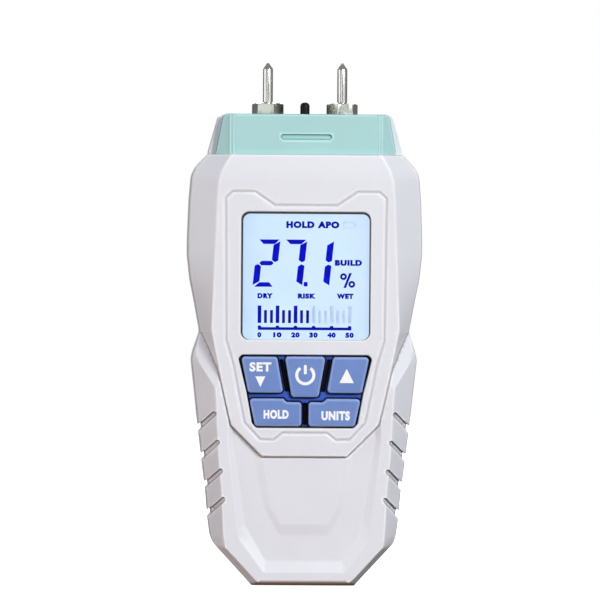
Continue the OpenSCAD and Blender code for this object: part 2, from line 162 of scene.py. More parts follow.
def distance(x, z, loop):
    """Distance from each point to the outline."""
    p = np.asarray(loop, float)
    best = np.full(np.shape(x), 1e9)
    for (x0, z0), (x1, z1) in zip(p, np.roll(p, -1, 0)):
        dx, dz = x1 - x0, z1 - z0
        t = np.clip(((x - x0) * dx + (z - z0) * dz) / max(dx * dx + dz * dz, 1e-12), 0, 1)
        best = np.minimum(best, (x - x0 - t * dx) ** 2 + (z - z0 - t * dz) ** 2)
    return np.sqrt(best)


def distance_near(x, z, loop, reach=1.0):
    """Distance to the outline where it is under reach, and reach elsewhere."""
    d = np.full(np.shape(x), float(reach))
    lo, hi = np.min(loop, 0) - reach, np.max(loop, 0) + reach
    near = (x > lo[0]) & (x < hi[0]) & (z > lo[1]) & (z < hi[1])
    d[near] = np.minimum(distance(x[near], z[near], loop), reach)
    return d


def depth_in(x, z, loop):
    """Distance inside the outline, negative outside it."""
    return np.where(inside(np.stack([x, z], 1), loop), 1, -1) * distance(x, z, loop)


def step(t):
    """A smooth step from 0 at t = 0 to 1 at t = 1."""
    t = np.clip(t, 0, 1)
    return t * t * (3 - 2 * t)


def soft_min(a, b, k):
    """The lower of two heights, rounded over where they differ by less than k."""
    return np.minimum(a, b) - np.maximum(k - np.abs(a - b), 0) ** 2 / (4 * k)


def soft_max(a, b, k):
    return -soft_min(-a, -b, k)


def lip(d, r):
    """How far a rounded edge of radius r has fallen at distance d inside it."""
    t = np.clip(1 - d / r, 0, 1)
    return r * (1 - np.sqrt(np.maximum(1 - t * t, 0)))


def profile(half, soft):
    """Half width as a smooth function of height, from points given from the top down."""
    (xa, za), (xb, zb), (xc, zc), (xd, zd) = half[0], half[1], half[-2], half[-1]
    past, pitch = 6, 0.05                 # both ends run on straight by this much
    pts = [(xd + (xd - xc) * past / (zc - zd), zd - past), *reversed(half),
           (xa + (xa - xb) * past / (za - zb), za + past)]
    zs = np.arange(-10, 160, pitch)
    xs = np.interp(zs, [z for _, z in pts], [x for x, _ in pts])
    kernel = np.exp(-0.5 * (np.arange(-4 * soft, 4 * soft + 0.01, pitch) / soft) ** 2)
    xs = np.convolve(np.pad(xs, len(kernel) // 2, mode="edge"), kernel / kernel.sum(), mode="valid")[:len(zs)]
    return lambda z: np.interp(z, zs, xs)


# ---------------------------------------------------------------- meshes

class Skin:
    """Vertices, faces and vertex normals of one piece, gathered part by part."""

    def __init__(self):
        self.verts, self.faces, self.normals, self.edge, self.count = [], [], [], [], 0

    def add(self, verts, faces, normals, edge=None):
        verts = np.asarray(verts, float)
        self.verts.append(verts)
        self.faces += [[i + self.count for i in f] for f in faces]
        self.normals.append(np.asarray(normals, float))
        self.edge.append(np.zeros(len(verts)) if edge is None else np.asarray(edge, float))
        self.count += len(verts)

    def build(self, name, material, body, nodes=(), slot=None):
        verts, normals = np.vstack(self.verts), np.vstack(self.normals)
        mesh = bpy.data.meshes.new(name)
        mesh.from_pydata((verts * MM).tolist(), [], self.faces)
        mesh.polygons.foreach_set("use_smooth", [True] * len(mesh.polygons))
        mesh.normals_split_custom_set_from_vertices(normals.tolist())
        near = mesh.attributes.new("edge", "FLOAT", "POINT")
        near.data.foreach_set("value", np.concatenate(self.edge))
        return place(name, mesh, material, body, nodes)


def place(name, mesh, material, body, nodes=()):
    """The mesh as a piece that rides on a body and may stand for CAD nodes."""
    mesh.materials.append(material)
    obj = bpy.data.objects.new(name, mesh)
    bpy.context.scene.collection.objects.link(obj)
    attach(obj, body)
    if nodes:
        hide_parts(*nodes)
    return obj


def fill(outline, holes, lines, spacing):
    """Triangles over the outline, with its edges and the lines kept as edges."""
    loops = [clockwise(outline)] + [clockwise(h) for h in holes] + [np.asarray(l, float) for l in lines]
    points, edges = [], []
    for loop in loops:
        base = len(points)
        points += [Vector(p) for p in loop]
        edges += [(base + i, base + (i + 1) % len(loop)) for i in range(len(loop))]
    if spacing:
        lo, hi = np.min(outline, 0), np.max(outline, 0)
        gx, gz = np.meshgrid(np.arange(lo[0] + 0.37, hi[0], spacing),
                             np.arange(lo[1] + 0.41, hi[1], spacing))
        grid = np.stack([gx.ravel(), gz.ravel()], 1)
        grid = grid[inside(grid, outline)]
        points += [Vector(p) for p in grid]
    v, _, f, *_ = delaunay_2d_cdt(points, edges, [], 0, 1e-5)
    v, f = np.array([tuple(p) for p in v]), np.array([tuple(t) for t in f])
    middle = v[f].mean(1)
    keep = inside(middle, loops[0])
    for hole in holes:
        keep &= ~inside(middle, hole)
    f = f[keep]
    used, f = np.unique(f, return_inverse=True)
    return v[used], f.reshape(-1, 3)


def surface(skin, outline, height, facing, holes=(), lines=(), spacing=1.5, edge=None):
    """The face itself, with normals from the slope of its height.

    Its edge attribute is edge(x, z), or else how sharply the face bends: 1 on a ridge, for a painted
    highlight, and -1 in a groove and along the foot, for painted shade.
    """
    v, f = fill(outline, holes, lines, spacing)
    x, z = v[:, 0], v[:, 1]
    h, e = height(x, z), 0.01
    hx = (height(x + e, z) - height(x - e, z)) / (2 * e)
    hz = (height(x, z + e) - height(x, z - e)) / (2 * e)
    n = np.stack([-hx, np.full(len(x), facing), -hz], 1)
    n /= np.linalg.norm(n, axis=1, keepdims=True)
    if edge is None:
        reach, sharp = 0.3, 1.4
        around = [height(x + dx, z + dz) for dx, dz in ((reach, 0), (-reach, 0), (0, reach), (0, -reach))]
        bend = np.clip((4 * h - sum(around)) / reach / sharp, -1, 1)
        # Painted shade along the foot: it gets the darkest groove value
        bend[z < FOOT_SHADE_HEIGHT] = -1
    else:
        bend = edge(x, z)
    skin.add(np.stack([x, facing * h, z], 1), (f if facing < 0 else f[:, ::-1]).tolist(), n, bend)


def wall(skin, loop, levels, facing, hole=False):
    """Walls along an outline, through levels given as (inset, depths); a hole's face inward."""
    p = clockwise(loop)
    if hole:
        p = p[::-1]
    n = edge_normals(p)
    m = n + np.roll(n, 1, 0)
    sharp = (n * np.roll(n, 1, 0)).sum(1) < math.cos(math.radians(35))
    m /= np.maximum(np.linalg.norm(m, axis=1, keepdims=True), 1e-9)
    count = len(p)
    for (in0, h0), (in1, h1) in zip(levels, levels[1:]):
        h0, h1 = np.broadcast_to(h0, count), np.broadcast_to(h1, count)
        first, second = (np.stack([p[:, 0] - m[:, 0] * i, facing * h, p[:, 1] - m[:, 1] * i], 1)
                         for i, h in ((in0, h0), (in1, h1)))
        verts, faces, normals = [], [], []
        for i in range(count):
            j = (i + 1) % count
            ni = n[i] if sharp[i] else m[i]
            nj = n[i] if sharp[j] else m[j]
            base = len(verts)
            verts += [first[i], first[j], second[j], second[i]]
            for q in (ni, nj, nj, ni):
                drop = h0[i] - h1[i]
                normals.append((q[0], -facing * (in1 - in0) / (drop if abs(drop) > 1e-6 else 1e-6), q[1]))
            quad = [base, base + 1, base + 2, base + 3]
            a, b, c = (np.array(verts[k]) for k in quad[:3])
            if np.cross(b - a, c - a) @ np.array([n[i][0], 0, n[i][1]]) < 0:
                quad.reverse()
            faces.append(quad)
        normals = np.array(normals)
        skin.add(verts, faces, normals / np.linalg.norm(normals, axis=1, keepdims=True))


def flat(skin, outline, depth, facing, holes=()):
    """A flat face at one depth."""
    surface(skin, outline, lambda x, z: np.full(np.shape(x), float(depth)), facing, holes, spacing=None)


def block_relief(name, outline, height, back, material, body, nodes=(), facing=FRONT, lines=(), spacing=1.2,
                 slot=None, edge=None):
    """A closed piece with a shaped face, straight sides and a flat back."""
    skin = Skin()
    surface(skin, outline, height, facing, (), lines, spacing, edge)
    top = height(outline[:, 0], outline[:, 1])
    wall(skin, outline, [(0, top), (0, back)], facing)
    flat(skin, outline, -back, -facing)
    return skin.build(name, material, body, nodes, slot)


def shaded(mesh, degrees=32):
    """The mesh shaded smooth, apart from edges sharper than the angle."""
    mesh.polygons.foreach_set("use_smooth", [True] * len(mesh.polygons))
    mesh.set_sharp_from_angle(angle=math.radians(degrees))
    return mesh


def stack(name, rings):
    """A mesh through closed rings of equal length, closed at both ends."""
    n = len(rings[0])
    verts = [tuple(np.asarray(p) * MM) for ring in rings for p in ring]
    faces = [list(range(n))[::-1], [(len(rings) - 1) * n + k for k in range(n)]]
    for base in range(0, (len(rings) - 1) * n, n):
        for k in range(n):
            after = (k + 1) % n
            faces.append([base + k, base + after, base + n + after, base + n + k])
    mesh = bpy.data.meshes.new(name)
    mesh.from_pydata(verts, [], faces)
    return shaded(mesh)


def circle_ring(x, y, z, r, steps=64):
    return [(px, py, z) for px, py in arc(x, y, r, 0, 360, steps)[:-1]]


# ---------------------------------------------------------------- the design, from the CAD frame

def cad(node):
    """A node's lowest and highest corners in millimetres."""
    return [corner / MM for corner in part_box(node)]


PLATE = -cad("front_shell")[0].y          # depth of the display plate
BACK_FACE = cad("rear_shell")[1].y        # depth of the back
KEY_TOP = -cad("key_power")[0].y
KEY_FOOT = -cad("key_power")[1].y
LENS = -cad("display_lens")[0].y
LCD = -cad("lcd_glass")[0].y
BODY_TOP = cad("front_shell")[1].z
RIM = PLATE - 0.8                         # depth of the handle's rim
HOLLOW = RIM - 1.0                        # depth of the hollow inside the rim
SIDE = 6.5                                # depth where the front bevels end
SIDE_BACK = 9.0                           # depth where the back bevels end
BACK_BEVEL = 4.5                          # width of the back bevels
SEAM_H, SEAM_W = 0.2, 0.22                # chamfer of each half along the seam
WAIST = 73                                # height of the waist
SHOULDER, SHOULDER_FALL = 116.5, 0.8      # above this height the plate falls back by this much
SHIELD_RISE = 0.5                         # rise of the shield inside the hollow
FOOT_BEVEL = 1.3                          # height of the steep bevel along the foot
GROOVE_DEPTH, GROOVE_HALF_WIDTH = 0.42, 0.75
STEP_LINE_DEPTH, STEP_LINE_HALF_WIDTH, STEP_LINE_TOP = 0.28, 0.38, 66
OPENING_DROP, OPENING_R = 0.35, 0.45      # rounded edges of the window and keypad openings
WINDOW_W, WINDOW_H, WINDOW_Z = 37.2, 36.8, 89.3

SIDE_HALF = [(28.1, 124.2), (29.8, 122.5), (31.8, 120.2), (32.8, 117.9), (33.4, 111), (33.8, 99.5),
             (33.8, 95), (33, 88), (31.8, 82.2), (30.1, 73), (32.1, 67.2), (32.5, 64.9), (31.2, 53.4),
             (30.5, 46.5), (29.1, 35), (28.1, 26.9), (27.4, 18.9), (26.8, 14.3), (25.9, 12), (14.8, 0)]
PLATE_HALF = [(21.4, 124.2), (22.8, 122), (24.2, 119.5), (25.1, 116.5), (25.5, 111), (26.1, 95),
              (26.5, 84.5), (27, 73.6), (25.8, 67.8), (24, 59.5), (22.3, 52), (21, 46.5), (12.1, 37.6)]
RIM_HALF = [(26.6, 64), (25.7, 56.9), (24.6, 36.7), (23.8, 28.1), (23.1, 14.3), (22.8, 11.3),
            (13.3, 1.1), (12.2, 0)]
HOLLOW_HALF = [(22.1, 52), (22.1, 41.9), (19.1, 14), (11.7, 4.2)]
HOLLOW_FLOOR_HALF = [(20.5, 52), (20.5, 41.9), (16.9, 17.4), (10.6, 6.6)]
SHIELD_HALF = [(14, 39), (14, 37), (12.7, 28.1), (11.3, 22.3), (7.6, 15.7), (6.5, 14.7)]
SHIELD_TOP_HALF = [(12.1, 39), (12.1, 37), (9.7, 22.8), (6.7, 17.8)]
FACET = [(29.7, 72.4), (32.2, 66.2), (30.5, 64.1), (25.7, 56.9), (23.9, 59.4), (28.1, 70)]
GROOVE_HALF = [(9, 109.5), (14.7, 113.4), (21.1, 113.4), (23.1, 111.6), (22.7, 70.7), (20.6, 63.5),
               (19, 55.2), (17.3, 47), (12.9, 42.2), (9, 42.1), (6.4, 44.1)]
KEYPAD_HALF = [(18.2, 66.6), (19.2, 65.5), (16.8, 55.7), (15.2, 46.9), (14, 45.6)]
HEAD_HALF = [(24.9, 135.6), (28.1, 124.2)]
COVER_HALF = [(23.9, 135.8), (26.1, 124.2)]
SET_KEY = [(-18.4, 66), (-8.1, 66), (-6.25, 55.7), (-16.3, 55.7)]
POWER_KEY = [(-5.85, 66.1), (5.85, 66.1), (3.85, 54.5), (-3.85, 54.5)]
HOLD_KEY = [(-16, 54), (-6.2, 54), (-5.3, 53), (-1.5, 53), (-1.05, 52.5), (-1.05, 46.1), (-14.3, 46.1)]
WEB_SLOT = [(-7.6, 65.4), (-6.2, 65.4), (-4.3, 55.9), (-5.85, 55.9)]

side_at = profile(SIDE_HALF, 0.45)
plate_at = profile(PLATE_HALF, 0.35)
rim_at = profile(RIM_HALF, 0.3)
hollow_at = profile(HOLLOW_HALF, 0.2)
hollow_floor_at = profile(HOLLOW_FLOOR_HALF, 0.2)
shield_at = profile(SHIELD_HALF, 0.2)
shield_top_at = profile(SHIELD_TOP_HALF, 0.2)
bevel_below_waist = profile([(2.4, 150), (3.1, WAIST), (2.6, 68), (2.4, 60), (2.4, 0)], 0.5)

NOTCH_DEPTH, NOTCH_R, NOTCH_REACH = 0.85, 0.75, 4.3
NOTCHES = [45.2 - 8.2 * i for i in range(4)]      # heights of the grip notches


def body_outline():
    """The housing seen from the front, with the grip notches cut into its sides."""
    corner, foot = (12.3, 11.9, 11.4, 10.8, 10), SIDE_HALF[-1][0]
    half, slant, cut = [], NOTCH_R * math.sqrt(2), NOTCH_DEPTH
    z = BODY_TOP
    while z > corner[0] + 0.1:
        notch = next((n for n in NOTCHES if abs(z - n) < slant + 0.25), None)
        if notch is None:
            half.append((side_at(z), z))
            z -= 0.8
            continue
        top, low = notch + slant, notch - slant
        half += [(side_at(top), top), (side_at(top) - cut, top + cut), (side_at(low) - cut, low + cut),
                 (side_at(low), low)]
        z = low - 0.6
    half += [(side_at(z), z) for z in corner] + [(foot + 0.2, 0.15), (foot - 0.1, 0)]
    return clockwise(mirrored(half))


def notch_shapes():
    """The grip notches on both sides, rising inwards from the edge."""
    out = []
    for z in NOTCHES:
        side = side_at(z)
        right = capsule((side + 1, z - 1), (side - NOTCH_REACH, z + NOTCH_REACH), NOTCH_R)
        out += [right, np.array(flipped(right))]
    return out


BODY = dense(body_outline(), 0.8)
WINDOW = clockwise(rounded(rectangle(WINDOW_W, WINDOW_H, WINDOW_Z), 2.3, 8))
KEYPAD = clockwise(rounded(mirrored(KEYPAD_HALF), 1.1, 5))
GROOVE = clockwise(rounded(mirrored(GROOVE_HALF), 1.2, 5))
PLATE_EDGE = clockwise(rounded(mirrored(PLATE_HALF), 0.5, 3))
STEP_LINE = grown(PLATE_EDGE, 0.5)
NOTCH_SHAPES = notch_shapes()
KEY_POINTS = {"set": SET_KEY, "power": POWER_KEY, "up": flipped(SET_KEY), "hold": HOLD_KEY,
              "units": flipped(HOLD_KEY)}
KEYS = {name: dense(clockwise(rounded(points, 0.95, 7)), 0.6) for name, points in KEY_POINTS.items()}

# Head and its cover, which both run down into the housing by SUNK
HEAD_BACK, HEAD_FRONT, HEAD_R, SUNK = 12.5, -5.5, 1.2, 2.0
HEAD = dense(clockwise(rounded(mirrored(HEAD_HALF + [(25.5, BODY_TOP - SUNK)]), 1.6, 8)), 1)
COVER = dense(clockwise(rounded(mirrored(COVER_HALF + [(22.5, BODY_TOP - SUNK)]), 1.5, 8)), 0.5)
COVER_FACE, COVER_BACK, COVER_RIDGES = 12.3, 5.5, (20.95, 22.0)
SLOT_Z, SLOT_R = 129.2, 0.85
SLOT_ENDS = [(-6.6, SLOT_Z), (6.6, SLOT_Z)]

# Battery door, with the dish for a finger and the slits that free its snap tongue, and the bay behind
DOOR_LO, DOOR_HI = cad("battery_door")
DOOR_HALF, DOOR_LOW, DOOR_HIGH, DOOR_FACE = 17.0, DOOR_LO.z, DOOR_HI.z, DOOR_HI.y
DOOR_IN, DOOR_GAP, DOOR_MIDDLE = DOOR_FACE - 1.6, 0.4, (DOOR_HI.z + DOOR_LO.z) / 2
DOORWAY = clockwise(rounded(rectangle(2 * (DOOR_HALF + DOOR_GAP), DOOR_HIGH - DOOR_LOW + 2 * DOOR_GAP,
                                      DOOR_MIDDLE), 1.4, 5))
DOOR = clockwise(rounded(rectangle(2 * DOOR_HALF, DOOR_HIGH - DOOR_LOW, DOOR_MIDDLE), 1.1, 5))
DISH_Z, DISH_RIB_PITCH = DOOR_HIGH - 8, 1.8
DISH = capsule((-4.6, DISH_Z), (4.6, DISH_Z), 4.2, 16)
SLITS = [clockwise(rounded(rectangle(0.8, 12.5, DOOR_HIGH - 6.2, x), 0.35, 3)) for x in (-11, 11)]
BAY = clockwise(dense(rounded(rectangle(33.2, 50, 37), 0.6, 3), 0.7))
CELL_PITCH, CELL_R, CELL_Y = 10.9, 5.25, 8.2
SCREWS = [(-25, 112), (25, 112), (-20.9, 30), (20.9, 30)]
SCREW_HOLES = [np.array(arc(x, z, 2.5, 0, -360, 40)[:-1]) for x, z in SCREWS]
BACK_HOLES = [(DOORWAY, 0.3)] + [(hole, 0.35) for hole in SCREW_HOLES]      # with their edges' radii


# ---------------------------------------------------------------- the housing

def notched(x, z, level, floor):
    """The level, cut down to the floor inside the grip notches."""
    wall_width = 0.22
    for shape in NOTCH_SHAPES:
        lo, hi = shape.min(0) - 0.3, shape.max(0) + 0.3
        near = (x > lo[0]) & (x < hi[0]) & (z > lo[1]) & (z < hi[1])
        t = step(depth_in(x[near], z[near], shape) / wall_width + 0.15)
        level[near] = level[near] * (1 - t) + np.minimum(floor[near], level[near]) * t
    return level


def handle(a, z, shift=0.0):
    """The handle without its hollow: a flat rim, steep sides and a sloping facet below the waist.

    With a shift it is the floor of the grip notches, which runs parallel to the sides.
    """
    rim = rim_at(z)
    width = np.maximum(side_at(z) - rim, 2.0)
    h = RIM - (RIM - SIDE) * (a + shift - rim) / width
    if shift:
        return h - 0.3
    h = soft_min(h, np.full_like(h, RIM), 0.35)
    facet_x, facet_z = RIM_HALF[1]
    h = soft_min(h, RIM - 0.5 * (a - facet_x) - 0.33 * (z - facet_z), 0.2)
    return soft_min(h, SIDE + (RIM - SIDE) * (z + 0.1) / FOOT_BEVEL, 0.6)


def raised(a, z, foot, top, least, low, rise):
    """How far up its sloping side a raised or sunk shape is, 0 outside it and 1 on its flat."""
    t = np.minimum((foot(z) - a) / np.maximum(foot(z) - top(z), least), (z - low) / rise)
    k = 0.08 if least < 0.4 else 0.1
    return soft_max(soft_min(t, np.ones_like(t), k), np.zeros_like(t), k)


def front_height(x, z):
    a = np.abs(x)
    # Upper part: a flat plate with a bevel down to the sides and a steep step down to the handle
    width = np.where(z > WAIST, np.maximum(side_at(z) - plate_at(z), 2), bevel_below_waist(z))
    bevel = (a - plate_at(z)) * (PLATE - SIDE) / width
    (corner_x, corner_z), (_, low_z) = PLATE_HALF[-2:]
    steep = 3.0
    low = soft_max((a - corner_x + corner_z - z) * math.sqrt(0.5) * steep, (low_z - z) * steep, 0.1)
    fall = soft_max(bevel, low, 0.1)
    plate = PLATE - SHOULDER_FALL * step((z - SHOULDER) / 12)
    upper = plate - soft_max(fall, np.zeros_like(fall), 0.35)
    # Handle, with its hollow and the shield raised inside it
    lower = handle(a, z) - (RIM - HOLLOW) * raised(a, z, hollow_at, hollow_floor_at, 0.3, 4, 3.4)
    lower += SHIELD_RISE * raised(a, z, shield_at, shield_top_at, 0.5, 14.7, 3.1)
    h = soft_max(upper, lower, 0.25)
    # Groove round the display and the keys
    h -= GROOVE_DEPTH * (1 - step(distance_near(x, z, GROOVE) / GROOVE_HALF_WIDTH))
    # Line along the foot of the step, fading out towards the waist
    line = 1 - step(distance_near(x, z, STEP_LINE) / STEP_LINE_HALF_WIDTH)
    h -= STEP_LINE_DEPTH * line * step((STEP_LINE_TOP - z) / 4)
    # Rounded edges of the openings
    for hole in (WINDOW, KEYPAD):
        h -= OPENING_DROP * lip(distance_near(x, z, hole), OPENING_R) / OPENING_R
    h = notched(x, z, h, handle(a, z, NOTCH_DEPTH))
    return h - body_lip(x, z)


def body_lip(x, z, r=0.7):
    """How far the housing's outer edge is rounded off."""
    a = np.abs(x)
    near = (side_at(z) - a < 3) | (z < 3) | (z > BODY_TOP - 1.5)
    out = np.zeros_like(a)
    out[near] = lip(distance(x[near], z[near], BODY), r)
    return out


def back_height(x, z):
    a = np.abs(x)
    slope = (BACK_FACE - SIDE_BACK) / BACK_BEVEL
    h = soft_min(SIDE_BACK + (side_at(z) - a) * slope, np.full_like(a, BACK_FACE), 0.8)
    h = soft_min(h, SIDE_BACK + (z + 0.1) * 2.4, 0.8)
    h = soft_min(h, SIDE_BACK + (BODY_TOP + 0.1 - z) * 2.2, 0.8)
    h = notched(x, z, h, SIDE_BACK + (side_at(z) - NOTCH_DEPTH - a) * slope - 0.2)
    for hole, r in BACK_HOLES:
        h -= lip(distance_near(x, z, hole), r)
    return h - body_lip(x, z)


def rings(loop, offsets):
    """The outline at several distances outside it."""
    loop = dense(loop, 0.8)
    return [grown(loop, d) for d in offsets]


def shell_lines():
    """Mesh lines that both halves have, along the grip notches and the outer edge."""
    return ([grown(shape, d) for shape in NOTCH_SHAPES for d in (-0.2, -0.12, 0, 0.05)] +
            [grown(BODY, -d) for d in (0.05, 0.18, 0.4, 0.7)])


def build_front_shell(material):
    lines = rings(GROOVE, (-0.75, -0.45, -0.2, 0, 0.2, 0.45, 0.75))
    lines += rings(WINDOW, (0.06, 0.15, 0.3, 0.45)) + rings(KEYPAD, (0.06, 0.15, 0.3, 0.45))
    lines += rings(PLATE_EDGE, (-0.25, -0.1, 0.0, 0.12, 0.3, 0.5, 0.7, 0.9))
    for half in (HOLLOW_HALF, HOLLOW_FLOOR_HALF, SHIELD_HALF, SHIELD_TOP_HALF):
        lines += rings(clockwise(mirrored(half)), (-0.25, 0, 0.25))
    lines += rings(clockwise(mirrored(RIM_HALF)), (-0.5, -0.25, 0, 0.25))
    for facet in (FACET, flipped(FACET)):
        lines += rings(clockwise(facet), (-0.3, -0.1, 0.1, 0.3))
    lines += [rectangle(5.2, d, WAIST, side * 27.3) for d in (0.2, 0.6) for side in (-1, 1)]
    lines += shell_lines()
    skin = Skin()
    surface(skin, BODY, front_height, FRONT, (WINDOW, KEYPAD), lines, 0.8)
    wall(skin, BODY, [(0, front_height(BODY[:, 0], BODY[:, 1])), (0, SEAM_H), (SEAM_W, 0)], FRONT)
    for hole, depth in ((WINDOW, LENS - 0.6), (KEYPAD, LENS - 1.6)):
        wall(skin, hole, [(0, PLATE - OPENING_DROP), (0, depth)], FRONT, hole=True)
    return skin.build("front_shell_skin", material, "housing", ["front_shell"], "shell")


def head_height(x, z):
    """The back of the head, flat with rounded edges."""
    return HEAD_BACK - HEAD_R * lip(depth_in(x, z, HEAD), HEAD_R)


def cover_height(x, z):
    """The head cover's face: flat, then a narrow bevel and a wider facet at each side."""
    a = np.abs(x)
    h = soft_min(COVER_FACE - (a - 20.9) * 0.32, np.full_like(a, COVER_FACE), 0.12)
    h = soft_min(h, COVER_FACE - 0.3 - (a - 21.8) * 0.85, 0.12)
    h += 0.2 * sum(1 - step(np.abs(a - ridge) / 0.3) for ridge in COVER_RIDGES)
    near = (a < 9) & (np.abs(z - SLOT_Z) < 2)
    h[near] -= 0.75 * step(depth_in(x[near], z[near], capsule(*SLOT_ENDS, SLOT_R)) / 0.3 + 0.25)
    return h - np.where(z > BODY_TOP + 0.8, lip(distance(x, z, COVER), 0.6), 0)


def build_head_cover(material):
    slot = dense(capsule(*SLOT_ENDS, SLOT_R, 12), 0.5)
    lines = [grown(slot, d) for d in (-0.25, -0.15, -0.05, 0.05, 0.12)]
    lines += [grown(COVER, -d) for d in (0.05, 0.15, 0.35, 0.6)]
    lines += [rectangle(0.1, 12.8, 129, side * (ridge + d)) for ridge in COVER_RIDGES
              for d in (-0.3, -0.15, 0, 0.15, 0.3) for side in (-1, 1)]
    block_relief("head_cover_skin", COVER, cover_height, COVER_BACK, material, "housing", ["head_cover"],
                 lines=lines, spacing=0.8, slot="cap")


def build_rear_shell(material):
    skin, ledge, screw_seat = Skin(), DOOR_IN - 0.1, 10
    lines = shell_lines()
    back_edge = [(side_at(z) - BACK_BEVEL, z) for z in np.arange(122, 12, -2.0)] + [(13, 3)]
    lines += rings(clockwise(mirrored(back_edge)), (-0.5, -0.2, 0.1, 0.4))
    for hole, _ in BACK_HOLES:
        lines += rings(hole, (0.05, 0.15, 0.3))
    surface(skin, BODY, back_height, BACK, [DOORWAY] + SCREW_HOLES, lines, 1.0)
    wall(skin, BODY, [(0, back_height(BODY[:, 0], BODY[:, 1])), (0, SEAM_H), (SEAM_W, 0)], BACK)
    for hole, r in BACK_HOLES:
        floor = ledge if hole is DOORWAY else screw_seat
        wall(skin, hole, [(0, BACK_FACE - r), (0, floor)], BACK, hole=True)
    for hole in SCREW_HOLES:
        flat(skin, hole, screw_seat, BACK)
    # Battery bay behind the door: a ledge, straight walls and a floor with a trough for each cell
    flat(skin, DOORWAY, ledge, BACK, [BAY])
    wall(skin, BAY, [(0, ledge), (0, bay_height(BAY[:, 0], BAY[:, 1]))], BACK, hole=True)
    surface(skin, BAY, bay_height, BACK, spacing=0.7)
    # Head, with a small chamfer round its front
    chamfer = 0.25
    surface(skin, HEAD, head_height, BACK, (), [grown(HEAD, -d) for d in (0.1, 0.3, 0.7, HEAD_R)], 2)
    wall(skin, HEAD, [(0, HEAD_BACK - HEAD_R), (0, HEAD_FRONT + chamfer), (chamfer, HEAD_FRONT)], BACK)
    flat(skin, grown(HEAD, -chamfer), -HEAD_FRONT, FRONT)
    return skin.build("rear_shell_skin", material, "housing", ["rear_shell"], "shell")


def bay_height(x, z):
    """Depth of the bay's floor, in a trough under each cell."""
    nearest = x - CELL_PITCH * np.clip(np.round(x / CELL_PITCH), -1, 1)
    trough = CELL_Y - np.sqrt(np.maximum((CELL_R + 0.35) ** 2 - nearest ** 2, 1))
    return np.clip(trough, 2.4, 4.6)


def door_height(x, z):
    """The door's face: flat with rounded edges, and a ribbed dish for the finger."""
    h = DOOR_FACE - lip(distance_near(x, z, DOOR), 0.4)
    near = (np.abs(x) < 10) & (z > DOOR_HIGH - 14)
    t = step(depth_in(x[near], z[near], DISH) / 1.6)
    ribs = 0.5 + 0.5 * np.cos((z[near] - DISH_Z) * 2 * math.pi / DISH_RIB_PITCH)
    h[near] -= t * (0.85 - 0.5 * ribs)
    return h


def build_door(material):
    skin, loop = Skin(), dense(DOOR, 0.8)
    lines = [grown(DISH, -d) for d in (0, 0.3, 0.7, 1.1, 1.6)]
    lines += [grown(loop, -d) for d in (0.05, 0.15, 0.4)]
    rows = np.arange(DISH_Z - 4, DISH_Z + 4, DISH_RIB_PITCH / 8)
    lines += [[(-7, z), (7, z), (0, z + 0.01)] for z in rows]
    surface(skin, loop, door_height, BACK, SLITS, lines, 1.2)
    wall(skin, loop, [(0, door_height(loop[:, 0], loop[:, 1])), (0, DOOR_IN)], BACK)
    for slit in SLITS:
        wall(skin, slit, [(0, DOOR_FACE), (0, DOOR_IN)], BACK, hole=True)
    flat(skin, loop, -DOOR_IN, FRONT, SLITS)
    return skin.build("battery_door_skin", material, "door", ["battery_door"], "shell")


def build_keys(material):
    for name, outline in KEYS.items():
        middle = outline.mean(0)

        def height(x, z):
            """A slightly bowed top with well rounded edges."""
            bow = 0.10 * np.clip(((x - middle[0]) ** 2 + (z - middle[1]) ** 2) / 50, 0, 1)
            return KEY_TOP - 0.02 - bow - 0.75 * lip(np.maximum(depth_in(x, z, outline), 0), 0.8)

        # The edge attribute is the distance to the outline, which places the painted highlight on each key
        lines = [grown(outline, -d) for d in (0.04, 0.12, 0.25, 0.45, 0.8)]
        block_relief(f"key_{name}_cap", outline, height, KEY_FOOT, material, f"{name}_key",
                     [f"key_{name}"], lines=lines, spacing=0.7, slot="key",
                     edge=lambda x, z: distance(x, z, outline))


def build_web(material):
    """The silicone web that fills the keypad opening round the keys, with deep slots between them."""
    outer = dense(grown(KEYPAD, -0.12), 0.7)
    holes = [grown(outline, 0.25) for outline in KEYS.values()]
    middle_slot = rectangle(1.5, 6.6, 49.6)
    slots = [clockwise(rounded(p, 0.4, 3)) for p in (WEB_SLOT, flipped(WEB_SLOT), middle_slot)]
    level = KEY_TOP - 2.1

    def sunk(x, z):
        return step(sum(np.maximum(depth_in(x, z, slot), 0) for slot in slots) / 0.35)

    def height(x, z):
        h = level - 2.0 * sunk(x, z)
        for loop in [outer] + holes:
            h -= 0.5 * lip(distance_near(x, z, loop), 0.5)
        return h

    def shade(x, z):
        """Painted shade on the web: in the slots, and in the gaps along its borders."""
        dark = sunk(x, z)
        gaps = sum(1 - step(distance_near(x, z, hole) / 0.3) for hole in holes)
        return np.maximum(dark, gaps + 1 - step(distance_near(x, z, outer) / 0.65))

    skin = Skin()
    lines = [grown(outer, -d) for d in (0.1, 0.3, 0.5)]
    lines += [grown(hole, d) for hole in holes for d in (0.1, 0.3)]
    lines += [grown(slot, -d) for slot in slots for d in (0, 0.12, 0.24, 0.36)]
    surface(skin, outer, height, FRONT, holes, lines, 0.6, shade)
    walls = [(0, level - 0.5), (0, level - 2)]
    wall(skin, outer, walls, FRONT)
    for hole in holes:
        wall(skin, hole, walls, FRONT, hole=True)
    return skin.build("keypad_web", material, "housing", ["keypad_mat"], "key_web")


# ---------------------------------------------------------------- materials

def tint(r, g, b):
    """A screen colour, 0 to 255, as the linear colour that shaders take."""
    return tuple(c / 12.92 if c < 0.04045 else ((c + 0.055) / 1.055) ** 2.4
                 for c in (r / 255, g / 255, b / 255))


